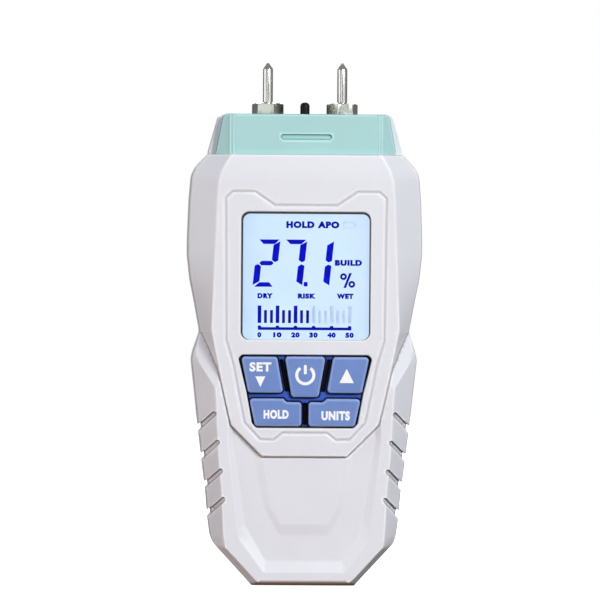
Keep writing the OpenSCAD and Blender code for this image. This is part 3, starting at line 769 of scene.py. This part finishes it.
class Look:
    """A material on the Principled shader, its patterns laid out in the object's own millimetres."""

    def __init__(self, name, metallic=0.0, ior=1.5, **sockets):
        self.material = bpy.data.materials.new(name)
        self.material.use_nodes = True
        self.tree = self.material.node_tree
        self.shader = self.tree.nodes["Principled BSDF"]
        self.shader.inputs["Metallic"].default_value = metallic
        self.shader.inputs["IOR"].default_value = ior
        for socket, value in sockets.items():
            self.shader.inputs[socket.replace("_", " ")].default_value = value
        scaled = self.node("ShaderNodeVectorMath", operation="SCALE")
        scaled.inputs["Scale"].default_value = 1 / MM
        self.join(self.node("ShaderNodeTexCoord").outputs["Object"], scaled.inputs[0])
        self.mm = scaled.outputs[0]

    def node(self, kind, **settings):
        made = self.tree.nodes.new(kind)
        for key, value in settings.items():
            setattr(made, key, value)
        return made

    def join(self, out, into):
        self.tree.links.new(out, into)

    def noise(self, size, detail=3.0, roughness=0.5, stretch=None):
        """Noise whose blotches are about size millimetres across."""
        made = self.node("ShaderNodeTexNoise")
        made.inputs["Scale"].default_value = 1 / size
        made.inputs["Detail"].default_value = detail
        made.inputs["Roughness"].default_value = roughness
        source = self.mm
        if stretch:
            squeeze = self.node("ShaderNodeVectorMath", operation="MULTIPLY")
            squeeze.inputs[1].default_value = stretch
            self.join(source, squeeze.inputs[0])
            source = squeeze.outputs[0]
        self.join(source, made.inputs["Vector"])
        return made.outputs["Fac"]

    def ramp(self, value, stops):
        """Colours or greys against a value, as (position, colour) stops."""
        made = self.node("ShaderNodeValToRGB")
        band = made.color_ramp
        while len(band.elements) < len(stops):
            band.elements.new(0.5)
        for element, (at, colour) in zip(band.elements, stops):
            element.position = at
            element.color = (*(colour if isinstance(colour, tuple) else (colour,) * 3), 1)
        self.join(value, made.inputs["Fac"])
        return made.outputs["Color"]

    def scaled(self, value, low, high, to_low, to_high):
        made = self.node("ShaderNodeMapRange")
        limits = {"From Min": low, "From Max": high, "To Min": to_low, "To Max": to_high}
        for socket, number in limits.items():
            made.inputs[socket].default_value = number
        self.join(value, made.inputs["Value"])
        return made.outputs["Result"]

    def mixed(self, factor, a, b):
        made = self.node("ShaderNodeMix", data_type="RGBA")
        for source, socket in ((factor, "Factor"), (a, "A"), (b, "B")):
            if isinstance(source, tuple):
                made.inputs[socket].default_value = (*source, 1)
            else:
                self.join(source, made.inputs[socket])
        return made.outputs["Result"]

    def attribute(self, name):
        return self.node("ShaderNodeAttribute", attribute_name=name).outputs["Fac"]

    def along(self, axis):
        """Where a point is along the object's X, Y or Z, in millimetres."""
        split = self.node("ShaderNodeSeparateXYZ")
        self.join(self.mm, split.inputs[0])
        return split.outputs[axis]

    def colour(self, source):
        self.join(source, self.shader.inputs["Base Color"])
        return self

    def mottle(self, base, amount=0.03, size=9.0):
        """The base colour, varied a little from place to place."""
        lower = tuple(c * (1 - amount) for c in base)
        upper = tuple(min(1, c * (1 + amount)) for c in base)
        return self.ramp(self.noise(size), [(0.3, lower), (0.7, upper)])

    def gloss(self, low, high, size=2.5):
        self.join(self.scaled(self.noise(size, 4), 0.3, 0.7, low, high), self.shader.inputs["Roughness"])
        return self

    def grain(self, size, strength, depth=0.02, detail=2.0, stretch=None):
        bump = self.node("ShaderNodeBump")
        bump.inputs["Strength"].default_value = strength
        bump.inputs["Distance"].default_value = depth * MM
        self.join(self.noise(size, detail, stretch=stretch), bump.inputs["Height"])
        self.join(bump.outputs["Normal"], self.shader.inputs["Normal"])
        return self


def moulded(name, base, low=0.36, high=0.46, grain=0.35, strength=0.22, amount=0.02):
    """Moulded plastic with a fine spark-eroded texture."""
    look = Look(name)
    look.colour(look.mottle(base, amount)).gloss(low, high)
    return look.grain(grain, strength).material


def edge_highlight_and_shade(look, body, pale, shade_colour):
    """The body colour with a painted highlight on ridges and painted shade in grooves and along the foot."""
    bend = look.attribute("edge")
    highlight_mask = look.ramp(bend, [(0.08, 0.0), (0.6, 1.0)])
    shade_mask = look.ramp(look.scaled(bend, 0, -1, 0, 1), [(0.25, 0.0), (1.0, 1.0)])
    return look.mixed(shade_mask, look.mixed(highlight_mask, body, pale), shade_colour)


def cap_plastic():
    look = Look("cap_plastic", Specular_IOR_Level=0.4)
    body = look.mottle(tint(170, 214, 213), 0.015, 10)
    # Painted highlight on the cover's ridges and painted shade in its grooves and slot
    look.colour(edge_highlight_and_shade(look, body, tint(196, 232, 232), tint(112, 168, 170))).gloss(0.46, 0.56)
    return look.grain(0.35, 0.2).material


def shell_plastic():
    look = Look("shell_plastic", Specular_IOR_Level=0.5)
    base = look.mottle(tint(228, 230, 237), 0.014, 14)
    # Painted highlight on ridges and painted shade in grooves and along the foot
    base = edge_highlight_and_shade(look, base, tint(246, 247, 251), tint(168, 165, 166))
    dust = look.ramp(look.noise(0.9, 5, 0.7), [(0.30, 0.94), (0.42, 1.0)])
    mix = look.node("ShaderNodeMix", data_type="RGBA", blend_type="MULTIPLY")
    mix.inputs["Factor"].default_value = 1
    look.join(base, mix.inputs["A"])
    look.join(dust, mix.inputs["B"])
    look.colour(mix.outputs["Result"]).gloss(0.4, 0.47)
    return look.grain(0.35, 0.2).material


def key_silicone():
    """Moulded silicone, with a painted highlight along the keys' rounded edges."""
    look = Look("key_silicone", Subsurface_Weight=0.08, Subsurface_Radius=(0.001, 0.001, 0.0015),
                Sheen_Weight=0.12, Sheen_Roughness=0.5)
    body = look.mottle(tint(108, 139, 203), 0.04, 5)
    # Painted highlight, palest at the key's outline and gone 0.75 mm inside it
    highlight_mask = look.ramp(look.attribute("edge"), [(0.0, 1.0), (0.30, 0.75), (0.75, 0.0)])
    look.colour(look.mixed(highlight_mask, body, tint(150, 174, 228))).gloss(0.42, 0.55)
    return look.grain(0.25, 0.25).material


def web_silicone():
    look = Look("web_silicone", Specular_IOR_Level=0.3)
    body = look.mottle(tint(53, 90, 184), 0.06, 5)
    # Painted shade, near black, in the slots and in the gaps round the keys and along the border
    painted_web_shade = look.ramp(look.attribute("edge"), [(0.0, 0.0), (0.6, 1.0)])
    look.colour(look.mixed(painted_web_shade, body, tint(2, 3, 8))).gloss(0.45, 0.6)
    return look.grain(0.3, 0.25).material


def turned_metal(name, base, low, high, stretch=(0.15, 0.15, 6.0), strength=0.25):
    """Metal with fine lines round its axis from the lathe."""
    look = Look(name, metallic=1.0)
    look.colour(look.mottle(base, 0.04, 3)).gloss(low, high, 5)
    return look.grain(0.6, strength, 0.004, stretch=stretch).material


def glossy_black():
    look = Look("bead_resin", Specular_IOR_Level=0.15, Coat_Weight=0.12, Coat_Roughness=0.1)
    look.colour(look.mottle(tint(9, 9, 12), 0.2, 1.5)).gloss(0.3, 0.4)
    return look.grain(0.8, 0.1).material


def window_glass():
    look = Look("window_acrylic", ior=1.12, Transmission_Weight=1.0)
    look.colour(look.mottle(tint(250, 252, 255), 0.004, 12)).gloss(0.0, 0.012, 4)
    return look.material


def display_glass():
    """The backlit display, a little brighter in the middle and to the right than on the left."""
    look = Look("display_backlight", Specular_IOR_Level=0.1)
    across = look.ramp(look.scaled(look.along("X"), -20, 20, 0, 1),
                       [(0, tint(190, 216, 246)), (0.18, tint(208, 231, 250)),
                        (0.8, tint(212, 233, 251)), (1, tint(200, 222, 247))])
    glow = look.mixed(look.scaled(look.noise(7, 2), 0.3, 0.7, 0, 0.25), across, tint(222, 238, 255))
    unlit = look.ramp(look.noise(6), [(0.3, tint(80, 92, 104)), (0.7, tint(88, 100, 112))])
    look.colour(unlit).gloss(0.15, 0.25)
    look.join(glow, look.shader.inputs["Emission Color"])
    look.shader.inputs["Emission Strength"].default_value = 0.96
    return look.grain(0.5, 0.03).material


def liquid_crystal(name, dark, light):
    look = Look(name, Specular_IOR_Level=0.05)
    look.colour(look.mottle(dark, 0.1, 2)).gloss(0.3, 0.4)
    glow = look.ramp(look.noise(1.5), [(0.3, dark), (0.7, light)])
    look.join(glow, look.shader.inputs["Emission Color"])
    look.shader.inputs["Emission Strength"].default_value = 0.8
    return look.material


def circuit_board():
    """Green lacquer over copper tracks."""
    look = Look("board_lacquer", Coat_Weight=0.3)
    tracks = look.node("ShaderNodeTexBrick")
    tracks.inputs["Scale"].default_value = 0.12
    greens = {"Color1": tint(22, 92, 50), "Color2": tint(18, 82, 46), "Mortar": tint(44, 128, 70)}
    for socket, colour in greens.items():
        tracks.inputs[socket].default_value = (*colour, 1)
    look.join(look.mm, tracks.inputs["Vector"])
    look.colour(tracks.outputs["Color"]).gloss(0.3, 0.42)
    return look.grain(0.5, 0.2).material


def cell_wrap(name, low, high):
    """Printed film round a cell, in bands from its flat end at low to its nub at high."""
    look = Look(name, Coat_Weight=0.4, Coat_Roughness=0.15)
    bands = look.ramp(look.scaled(look.along("Z"), low, high, 0, 1),
                      [(0, tint(190, 192, 196)), (0.06, tint(34, 60, 96)), (0.68, tint(36, 64, 102)),
                       (0.70, tint(214, 216, 220)), (0.73, tint(188, 146, 58)), (0.95, tint(196, 156, 66)),
                       (0.96, tint(200, 202, 206))])
    look.colour(look.mixed(look.scaled(look.noise(3), 0.3, 0.7, 0, 0.02), bands, tint(255, 255, 255)))
    look.gloss(0.22, 0.32)
    return look.grain(1.2, 0.08).material


def printed_white():
    look = Look("printed_white")
    look.colour(look.mottle(tint(250, 251, 254), 0.01, 2)).gloss(0.4, 0.5)
    return look.grain(0.15, 0.1).material


# ---------------------------------------------------------------- small pieces

def lettering(text, x, z, cap, width, bold=0.0):
    """Outlines of the text as a mesh, its capitals cap tall, width wide and centred on x and z."""
    curve = bpy.data.curves.new(text, "FONT")
    curve.body, curve.resolution_u, curve.offset, curve.space_character = text, 4, bold, 1 + 2.4 * bold
    obj = bpy.data.objects.new(text, curve)
    bpy.context.scene.collection.objects.link(obj)
    graph = bpy.context.evaluated_depsgraph_get()
    mesh = bpy.data.meshes.new_from_object(obj.evaluated_get(graph))
    bpy.data.objects.remove(obj)
    flat_points = np.array([(v.co.x, v.co.y) for v in mesh.vertices])
    faces = [list(p.vertices) for p in mesh.polygons]
    bpy.data.meshes.remove(mesh)
    lo, hi = flat_points.min(0), flat_points.max(0)
    points = (flat_points - (lo + hi) / 2) / (hi - lo) * (width, cap) + (x, z)
    return points, faces


def printed(name, shapes, depth, thick, material, body, nodes=()):
    """Flat shapes given as (points, faces), raised a little from depth to depth + thick."""
    verts, faces = [], []
    for points, shape in shapes:
        base, n = len(verts), len(points)
        verts += [(x, -depth - thick, z) for x, z in points] + [(x, -depth, z) for x, z in points]
        borders = {}
        for face in shape:
            p = np.array([points[i] for i in face])
            face = list(face) if area(p) > 0 else list(face)[::-1]
            faces.append([base + i for i in face])
            for a, b in zip(face, face[1:] + face[:1]):
                if (b, a) in borders:
                    del borders[(b, a)]
                else:
                    borders[(a, b)] = True
        faces += [[base + a, base + a + n, base + b + n, base + b] for a, b in borders]
    mesh = bpy.data.meshes.new(name)
    mesh.from_pydata([tuple(c * MM for c in v) for v in verts], [], faces)
    return place(name, mesh, material, body, nodes)


def polygon(points):
    return [tuple(p) for p in points], [list(range(len(points)))]


def band(inner, outer):
    """The strip between two outlines of equal length, left open between the last and first points."""
    n = len(inner)
    return list(inner) + list(outer), [[k, k + 1, n + k + 1, n + k] for k in range(n - 1)]


LEGEND_FOOT, LEGEND_THICK = KEY_TOP - 0.16, 0.155


def build_legends(material):
    def legend(key, shapes):
        printed(f"legend_{key}", shapes, LEGEND_FOOT, LEGEND_THICK, material, f"{key}_key")

    def triangle(x, z, w, h):
        tip, foot = z + h / 2, z - h / 2
        return polygon([(x - w / 2, foot), (x, tip), (x + w / 2, foot)])

    legend("set", [lettering("SET", -12.9, 63.1, 2.7, 6.3, 0.045), triangle(-12.9, 58.85, 2.9, -3.1)])
    legend("up", [triangle(11.9, 60.65, 4.15, 4.1)])
    ring = band(arc(0, 60.8, 2.02, 126, 414), arc(0, 60.8, 2.9, 126, 414))
    stem = polygon(rounded(rectangle(0.85, 2.7, 62.4), 0.35, 4))
    legend("power", [ring, stem])
    legend("hold", [lettering("HOLD", -8.3, 49.5, 2.6, 7.2, 0.06)])
    legend("units", [lettering("UNITS", 8.8, 49.2, 2.7, 8.2, 0.06)])


BOLD = 0.08
SLANT = math.tan(math.radians(6))
SEGMENTS = {"2": "abged", "7": "abc", "1": "bc"}


def digit(character, x, z, w, h):
    """Bars of a seven-segment digit whose lower left corner is at x, z."""
    t, s, g = 1.85, 1.3, 0.28             # upright bars, level bars and the gap between them
    mid = h / 2
    corners = {
        "a": [(0.2 + g, h), (w - g, h), (w - s - 0.2, h - s), (s + g + 0.3, h - s)],
        "b": [(w, h - g - 0.2), (w, mid + 0.7), (w - t / 2, mid + g), (w - t, mid + t / 2),
              (w - t, h - s - g)],
        "c": [(w, 0.2 + g), (w, mid - 0.7), (w - t / 2, mid - g), (w - t, mid - t / 2), (w - t, s + g)],
        "d": [(0.2 + g, 0), (w - g - 0.5, 0), (w - s - 0.6, s), (s + g + 0.3, s)],
        "e": [(0, 0.2 + g), (0, mid - 0.7), (t / 2, mid - g), (t, mid - t / 2), (t, s + g)],
        "g": [(t / 2 + g, mid), (t, mid + s / 2), (w - t, mid + s / 2), (w - t / 2 - g, mid),
              (w - t, mid - s / 2), (t, mid - s / 2)],
    }
    return [polygon([(x + px + SLANT * pz, z + pz) for px, pz in corners[bar]])
            for bar in SEGMENTS[character]]


def percent_sign(x, z):
    half, foot, top, width = 1.2, z - 2.15, z + 2.15, 0.72
    circles = [band(*(arc(x + side * half, z - side * 1.1, r, 0, 360, 20) for r in (0.36, 0.98)))
               for side in (-1, 1)]
    bar = [(x - half, foot), (x + half - width, top), (x + half, top), (x - half + width, foot)]
    return circles + [polygon(bar)]


def build_display(bright, dark, faint):
    """What the display shows, on the face of its glass."""
    def word(text, x, z, cap, width):
        return lettering(text, x, WINDOW_Z + z, cap, width, BOLD)

    def block(w, foot, top, x):
        return polygon(rectangle(w, top - foot, WINDOW_Z + (top + foot) / 2, x))

    # Large digits with their point and percent sign
    height, width = 13.6, 6.6
    digits = [polygon(rounded(rectangle(1.15, 1.3, WINDOW_Z - 2.4), 0.3, 3))]
    for character, x in (("2", -15.3), ("7", -7.6), ("1", 0.15)):
        digits += digit(character, x, WINDOW_Z - 3.2, width, height)
    shapes = percent_sign(12.1, WINDOW_Z - 1.25)
    # Words
    shapes += [word("HOLD", -1.6, 14.7, 2.0, 8.1), word("APO", 6.5, 14.7, 2.0, 6.2),
               word("BUILD", 12.3, 3.8, 1.7, 7.8), word("DRY", -11.6, -5.8, 1.5, 4.4),
               word("RISK", 0.4, -5.8, 1.5, 5.2), word("WET", 11.4, -5.8, 1.5, 4.8)]
    # Bar scale over a numbered line, every third bar taller
    ghosts = []
    pitch, bar_count, lit, foot = 1.73, 16, 9, -13.6
    for i in range(bar_count):
        x, tall = -13.2 + pitch * i, i % 3 == 0
        bar = block(1.05, foot, -8.6, x) if tall else block(0.83, foot, -9.9, x)
        (shapes if i < lit else ghosts).append(bar)
        if tall:
            shapes.append(polygon(arc(x, WINDOW_Z - 14.85, 0.55, 0, 180, 8)))
            shapes.append(word(str(i // 3 * 10), x, -17.0, 1.5, 1.15 if i == 0 else 2.4))
    shapes.append(block(26.9, -15.6, -14.8, -0.2))
    # Battery mark, faint
    case, hollow = (rounded(rectangle(w, h, WINDOW_Z + 14.7, 12.4), 0.25, 3)
                    for w, h in ((3.3, 1.9), (2.7, 1.3)))
    ghosts += [band(hollow + hollow[:1], case + case[:1]), block(0.5, 14.25, 15.15, 14.3)]
    printed("lcd_segments_lit", digits, LCD + 0.01, 0.05, bright, "housing")
    printed("lcd_words_lit", shapes, LCD + 0.01, 0.05, dark, "housing")
    printed("lcd_segments_ghost", ghosts, LCD + 0.01, 0.03, faint, "housing")


def build_window_shadow(material):
    """A dark strip of painted shadow round the inside of the window's top and sides, widest at the top and
    the left.
    """
    left, right, top, foot = 0.52, 0.32, 0.6, 0.04
    w, h = WINDOW_W - 0.04, WINDOW_H - 0.04
    outer = rectangle(w, h, WINDOW_Z)
    inner = rectangle(w - left - right, h - top - foot, WINDOW_Z + (foot - top) / 2, (left - right) / 2)
    # From the lower left corner, over the top, to the lower right corner
    inner, outer = (rounded(loop[-1:] + loop[:-1], r, 8) for loop, r in ((inner, 2.0), (outer, 2.28)))
    printed("painted_window_shadow", [band(inner, outer)], LENS + 0.01, 0.16, material, "housing")


def turned(name, points, x=0.0, y=0.0, steps=64):
    """A mesh turned about an upright axis, from (radius, height) points."""
    return stack(name, [circle_ring(x, y, z, r, steps) for r, z in points])


def hexagon_ring(x, y, z, flats, limit, turn, steps=72):
    """A ring round a hexagon, with its corners cut back to the limit radius."""
    out = []
    for k in range(steps):
        angle = 2 * math.pi * k / steps
        off = (angle + math.pi / 6) % (math.pi / 3) - math.pi / 6
        r = min(flats / 2 / math.cos(math.pi / 6 - abs(off)), limit)
        out.append((x + r * math.cos(angle + turn), y + r * math.sin(angle + turn), z))
    return out


PIN_Y = 2.0


def build_electrodes(steel, plate):
    """The pins with their tapered tips, standing in hexagonal collars."""
    apart, r, flats, corner, foot, top = 21.5, 1.45, 8.0, 4.62, 135.6, 139.0
    levels = [(foot, 4.3), (foot + 0.25, corner), (top - 0.35, corner), (top - 0.15, 4.3), (top, 3.9),
              (top, 1.6)]
    for side, name in ((-1, "left"), (1, "right")):
        node = f"electrode_{name}"
        x, tip, turn = side * apart / 2, cad(node)[1].z, math.radians(10.35) * side
        loops = [hexagon_ring(x, PIN_Y, z, flats, limit, turn) for z, limit in levels]
        collar = shaded(stack(f"collar_{name}", loops), 24)
        place(f"{node}_collar", collar, plate, "housing", ())
        shaft = [(r + 0.3, top - 0.05), (r + 0.25, top + 0.15), (r, top + 0.3), (r, 144), (r, tip - 2.0),
                 (r - 0.06, tip - 1.75), (0.8, tip - 0.9), (0.3, tip - 0.12), (0.16, tip - 0.03), (0.02, tip)]
        place(f"{node}_pin", turned(f"pin_{name}", shaft, x, PIN_Y), steel, "housing", [node])


def build_bead(material):
    """The temperature sensor: a short post with a domed end."""
    lo, hi = cad("temperature_sensor")
    r, foot = (hi.x - lo.x) / 2, 135.5
    shoulder = hi.z - r * 0.85
    points = [(r, lo.z), (r, foot), (r, shoulder)]
    points += [(r * math.cos(t), shoulder + r * 0.85 * math.sin(t)) for t in np.linspace(0.15, 1.5, 10)]
    place("temperature_bead", turned("bead", points, 0, PIN_Y), material, "housing", ["temperature_sensor"])


def build_cells(metal):
    """Three cells side by side, the middle one the other way up."""
    r = CELL_R
    case = [(r - 0.9, 0.05), (r - 0.4, 0.05), (r - 0.12, 0.16), (r - 0.01, 0.45), (r - 0.01, 42.9),
            (r - 0.12, 43.3), (r - 0.5, 43.55), (2.9, 43.6)]
    nub = [(3.3, 43.5), (3.1, 43.62), (1.9, 43.7), (1.85, 44.35), (1.7, 44.48)]
    low, high = (corner.z for corner in cad("battery_1"))
    wraps = [cell_wrap("cell_wrap", low, high), cell_wrap("cell_wrap_turned", high, low)]
    for i in range(3):
        node, upside_down = f"battery_{i + 1}", i == 1
        lo, hi = cad(node)
        base, sign = (hi.z, -1) if upside_down else (lo.z, 1)

        def part(name, points):
            points = [(a, base + sign * b) for a, b in points][::sign]
            return turned(f"{node}_{name}", points, CELL_PITCH * (i - 1), CELL_Y)

        place(f"{node}_wrap", part("case", case), wraps[upside_down], "housing", [node])
        place(f"{node}_cap", part("nub", nub), metal, "housing", ())


def dress(material, *nodes):
    """The material on CAD nodes that keep their own shape."""
    for name in nodes:
        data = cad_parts[name].data
        data.materials.clear()
        data.materials.append(material)


def bevelled(width, *nodes):
    """Small rounded edges on CAD nodes."""
    for name in nodes:
        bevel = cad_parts[name].modifiers.new("edges", "BEVEL")
        bevel.width, bevel.segments, bevel.limit_method = width * MM, 2, "ANGLE"
        bevel.angle_limit = math.radians(40)
        bevel.harden_normals = True


# ---------------------------------------------------------------- build

shell = shell_plastic()
build_front_shell(shell)
build_rear_shell(shell)
build_door(shell)
build_head_cover(cap_plastic())
build_keys(key_silicone())
build_web(web_silicone())
build_legends(printed_white())
build_display(liquid_crystal("crystal_digits", tint(2, 9, 148), tint(3, 18, 186)),
              liquid_crystal("crystal_words", tint(2, 14, 130), tint(3, 24, 164)),
              liquid_crystal("crystal_ghost", tint(156, 176, 196), tint(166, 186, 206)))
build_electrodes(turned_metal("polished_steel", tint(204, 204, 198), 0.24, 0.26, (1, 1, 1), 0.004),
                 turned_metal("collar_plate", tint(180, 184, 174), 0.24, 0.28, (1, 1, 1), 0.006))
build_bead(glossy_black())
build_cells(turned_metal("cell_steel", tint(200, 200, 204), 0.2, 0.3))
# A near black strip that paints the shadow inside the window's top and sides
build_window_shadow(moulded("window_shadow_black", tint(38, 40, 50), 0.5, 0.65))
dress(window_glass(), "display_lens")
dress(display_glass(), "lcd_glass")
dress(moulded("frame_plastic", tint(235, 236, 238)), "lcd_frame", "socket_carrier")
dress(moulded("light_guide", tint(240, 243, 250), 0.2, 0.3, 1.5, 0.05), "backlight_panel")
dress(moulded("contact_rubber", tint(52, 52, 58), 0.6, 0.75), "zebra_connectors", "pill_set",
      "pill_power", "pill_up", "pill_hold", "pill_units")
dress(circuit_board(), "main_pcb")
dress(moulded("chip_epoxy", tint(34, 34, 38), 0.5, 0.65), "board_chips")
dress(turned_metal("screw_steel", tint(186, 188, 192), 0.25, 0.38, (1, 1, 1)), "board_screws",
      "housing_screws", "battery_contacts", "battery_springs")
dress(turned_metal("brass", tint(214, 178, 98), 0.22, 0.34), "electrode_sockets")
dress(moulded("lead_insulation", tint(176, 40, 36), 0.4, 0.5), "sensor_leads", "battery_leads")
bevelled(0.25, "display_lens")
bevelled(0.15, "board_chips", "lcd_frame", "battery_contacts")

# ---------------------------------------------------------------- camera, lights and floor

scene = bpy.context.scene
scene.view_settings.view_transform = "Standard"
scene.view_settings.look = "None"

AIM = Vector((-1.4, -8, 82.3)) * MM
AZIMUTH, ELEVATION, ROLL = math.radians(-2), math.radians(0.6), math.radians(0.39)
VIEW_WIDTH, SENSOR, LENGTH = 172.8, 36, 500
camera = bpy.data.objects.new("camera", bpy.data.cameras.new("camera"))
camera.data.sensor_width, camera.data.lens = SENSOR, LENGTH
camera.data.clip_start = 0.01
towards = Vector((-math.sin(AZIMUTH) * math.cos(ELEVATION), math.cos(AZIMUTH) * math.cos(ELEVATION),
                  -math.sin(ELEVATION)))
camera.location = AIM - towards * (VIEW_WIDTH * LENGTH / SENSOR * MM)
turn = towards.to_track_quat("-Z", "Y").to_matrix()
camera.rotation_euler = (turn @ turn.Rotation(ROLL, 3, "Z")).to_euler()
scene.collection.objects.link(camera)
scene.camera = camera


def soft_light(name, place_at, size, power, colour=(1, 1, 1), height=None):
    data = bpy.data.lights.new(name, "AREA")
    data.shape, data.size, data.size_y = "RECTANGLE", size, height or size
    data.energy, data.color = power, colour
    lamp = bpy.data.objects.new(name, data)
    lamp.location = place_at
    lamp.rotation_euler = (AIM - Vector(place_at)).to_track_quat("-Z", "Y").to_euler()
    lamp.visible_camera = False
    scene.collection.objects.link(lamp)


soft_light("key", (0.43, -0.87, 0.5), 0.24, 7.15, height=0.3)
soft_light("card_left", (-0.34, -0.88, 0.12), 0.3, 0.8, height=0.5)
soft_light("side_left", (-0.93, -0.25, 0.1), 0.75, 2.8)
soft_light("side_right", (0.72, -0.6, 0.12), 0.6, 1.0)
soft_light("warm_bounce", (-0.4, -0.3, -0.5), 0.3, 0.8, (1.0, 0.55, 0.36))
soft_light("behind", (0.0, 0.8, 0.5), 0.5, 3.0)
soft_light("overhead", (0.0, 0.3, 1.1), 0.6, 1.3)


def studio_world():
    """White behind the object for the camera; for light, bright above and dim below."""
    world = bpy.data.worlds.new("studio")
    world.use_nodes = True
    tree = world.node_tree
    tree.nodes.clear()
    node, join = tree.nodes.new, tree.links.new
    split, ramp = node("ShaderNodeSeparateXYZ"), node("ShaderNodeValToRGB")
    join(node("ShaderNodeTexCoord").outputs["Generated"], split.inputs[0])
    shift = node("ShaderNodeMath")
    shift.operation = "MULTIPLY_ADD"
    shift.inputs[1].default_value = shift.inputs[2].default_value = 0.5
    join(split.outputs["Z"], shift.inputs[0])
    join(shift.outputs[0], ramp.inputs["Fac"])
    ramp.color_ramp.elements[0].color = (0.10, 0.078, 0.068, 1)
    ramp.color_ramp.elements[0].position = 0.3
    ramp.color_ramp.elements[1].color = (0.62, 0.63, 0.67, 1)
    ramp.color_ramp.elements[1].position = 0.62
    dome, white = node("ShaderNodeBackground"), node("ShaderNodeBackground")
    both = node("ShaderNodeMixShader")
    dome.inputs["Strength"].default_value = 0.5
    path, out = node("ShaderNodeLightPath"), node("ShaderNodeOutputWorld")
    join(ramp.outputs["Color"], dome.inputs["Color"])
    white.inputs["Color"].default_value = (1, 1, 1, 1)
    join(path.outputs["Is Camera Ray"], both.inputs["Fac"])
    join(dome.outputs[0], both.inputs[1])
    join(white.outputs[0], both.inputs[2])
    join(both.outputs[0], out.inputs["Surface"])
    return world


scene.world = studio_world()


def build_floor():
    """A plain pale floor that the object stands on and casts no light from."""
    look = Look("floor_pale")
    look.colour(look.mottle(tint(255, 255, 255), 0.002, 60))
    look.join(look.mottle(tint(255, 255, 255), 0.002, 60), look.shader.inputs["Emission Color"])
    look.shader.inputs["Emission Strength"].default_value = 1.0
    side = 4 / MM
    mesh = bpy.data.meshes.new("floor")
    mesh.from_pydata([(x * MM, y * MM, 0) for x, y in rectangle(side, side, 0)[::-1]], [], [[0, 1, 2, 3]])
    mesh.materials.append(look.material)
    floor = bpy.data.objects.new("floor", mesh)
    floor.location.z = -0.05 * MM
    floor.visible_diffuse = floor.visible_glossy = floor.visible_transmission = floor.visible_shadow = False
    scene.collection.objects.link(floor)


build_floor()
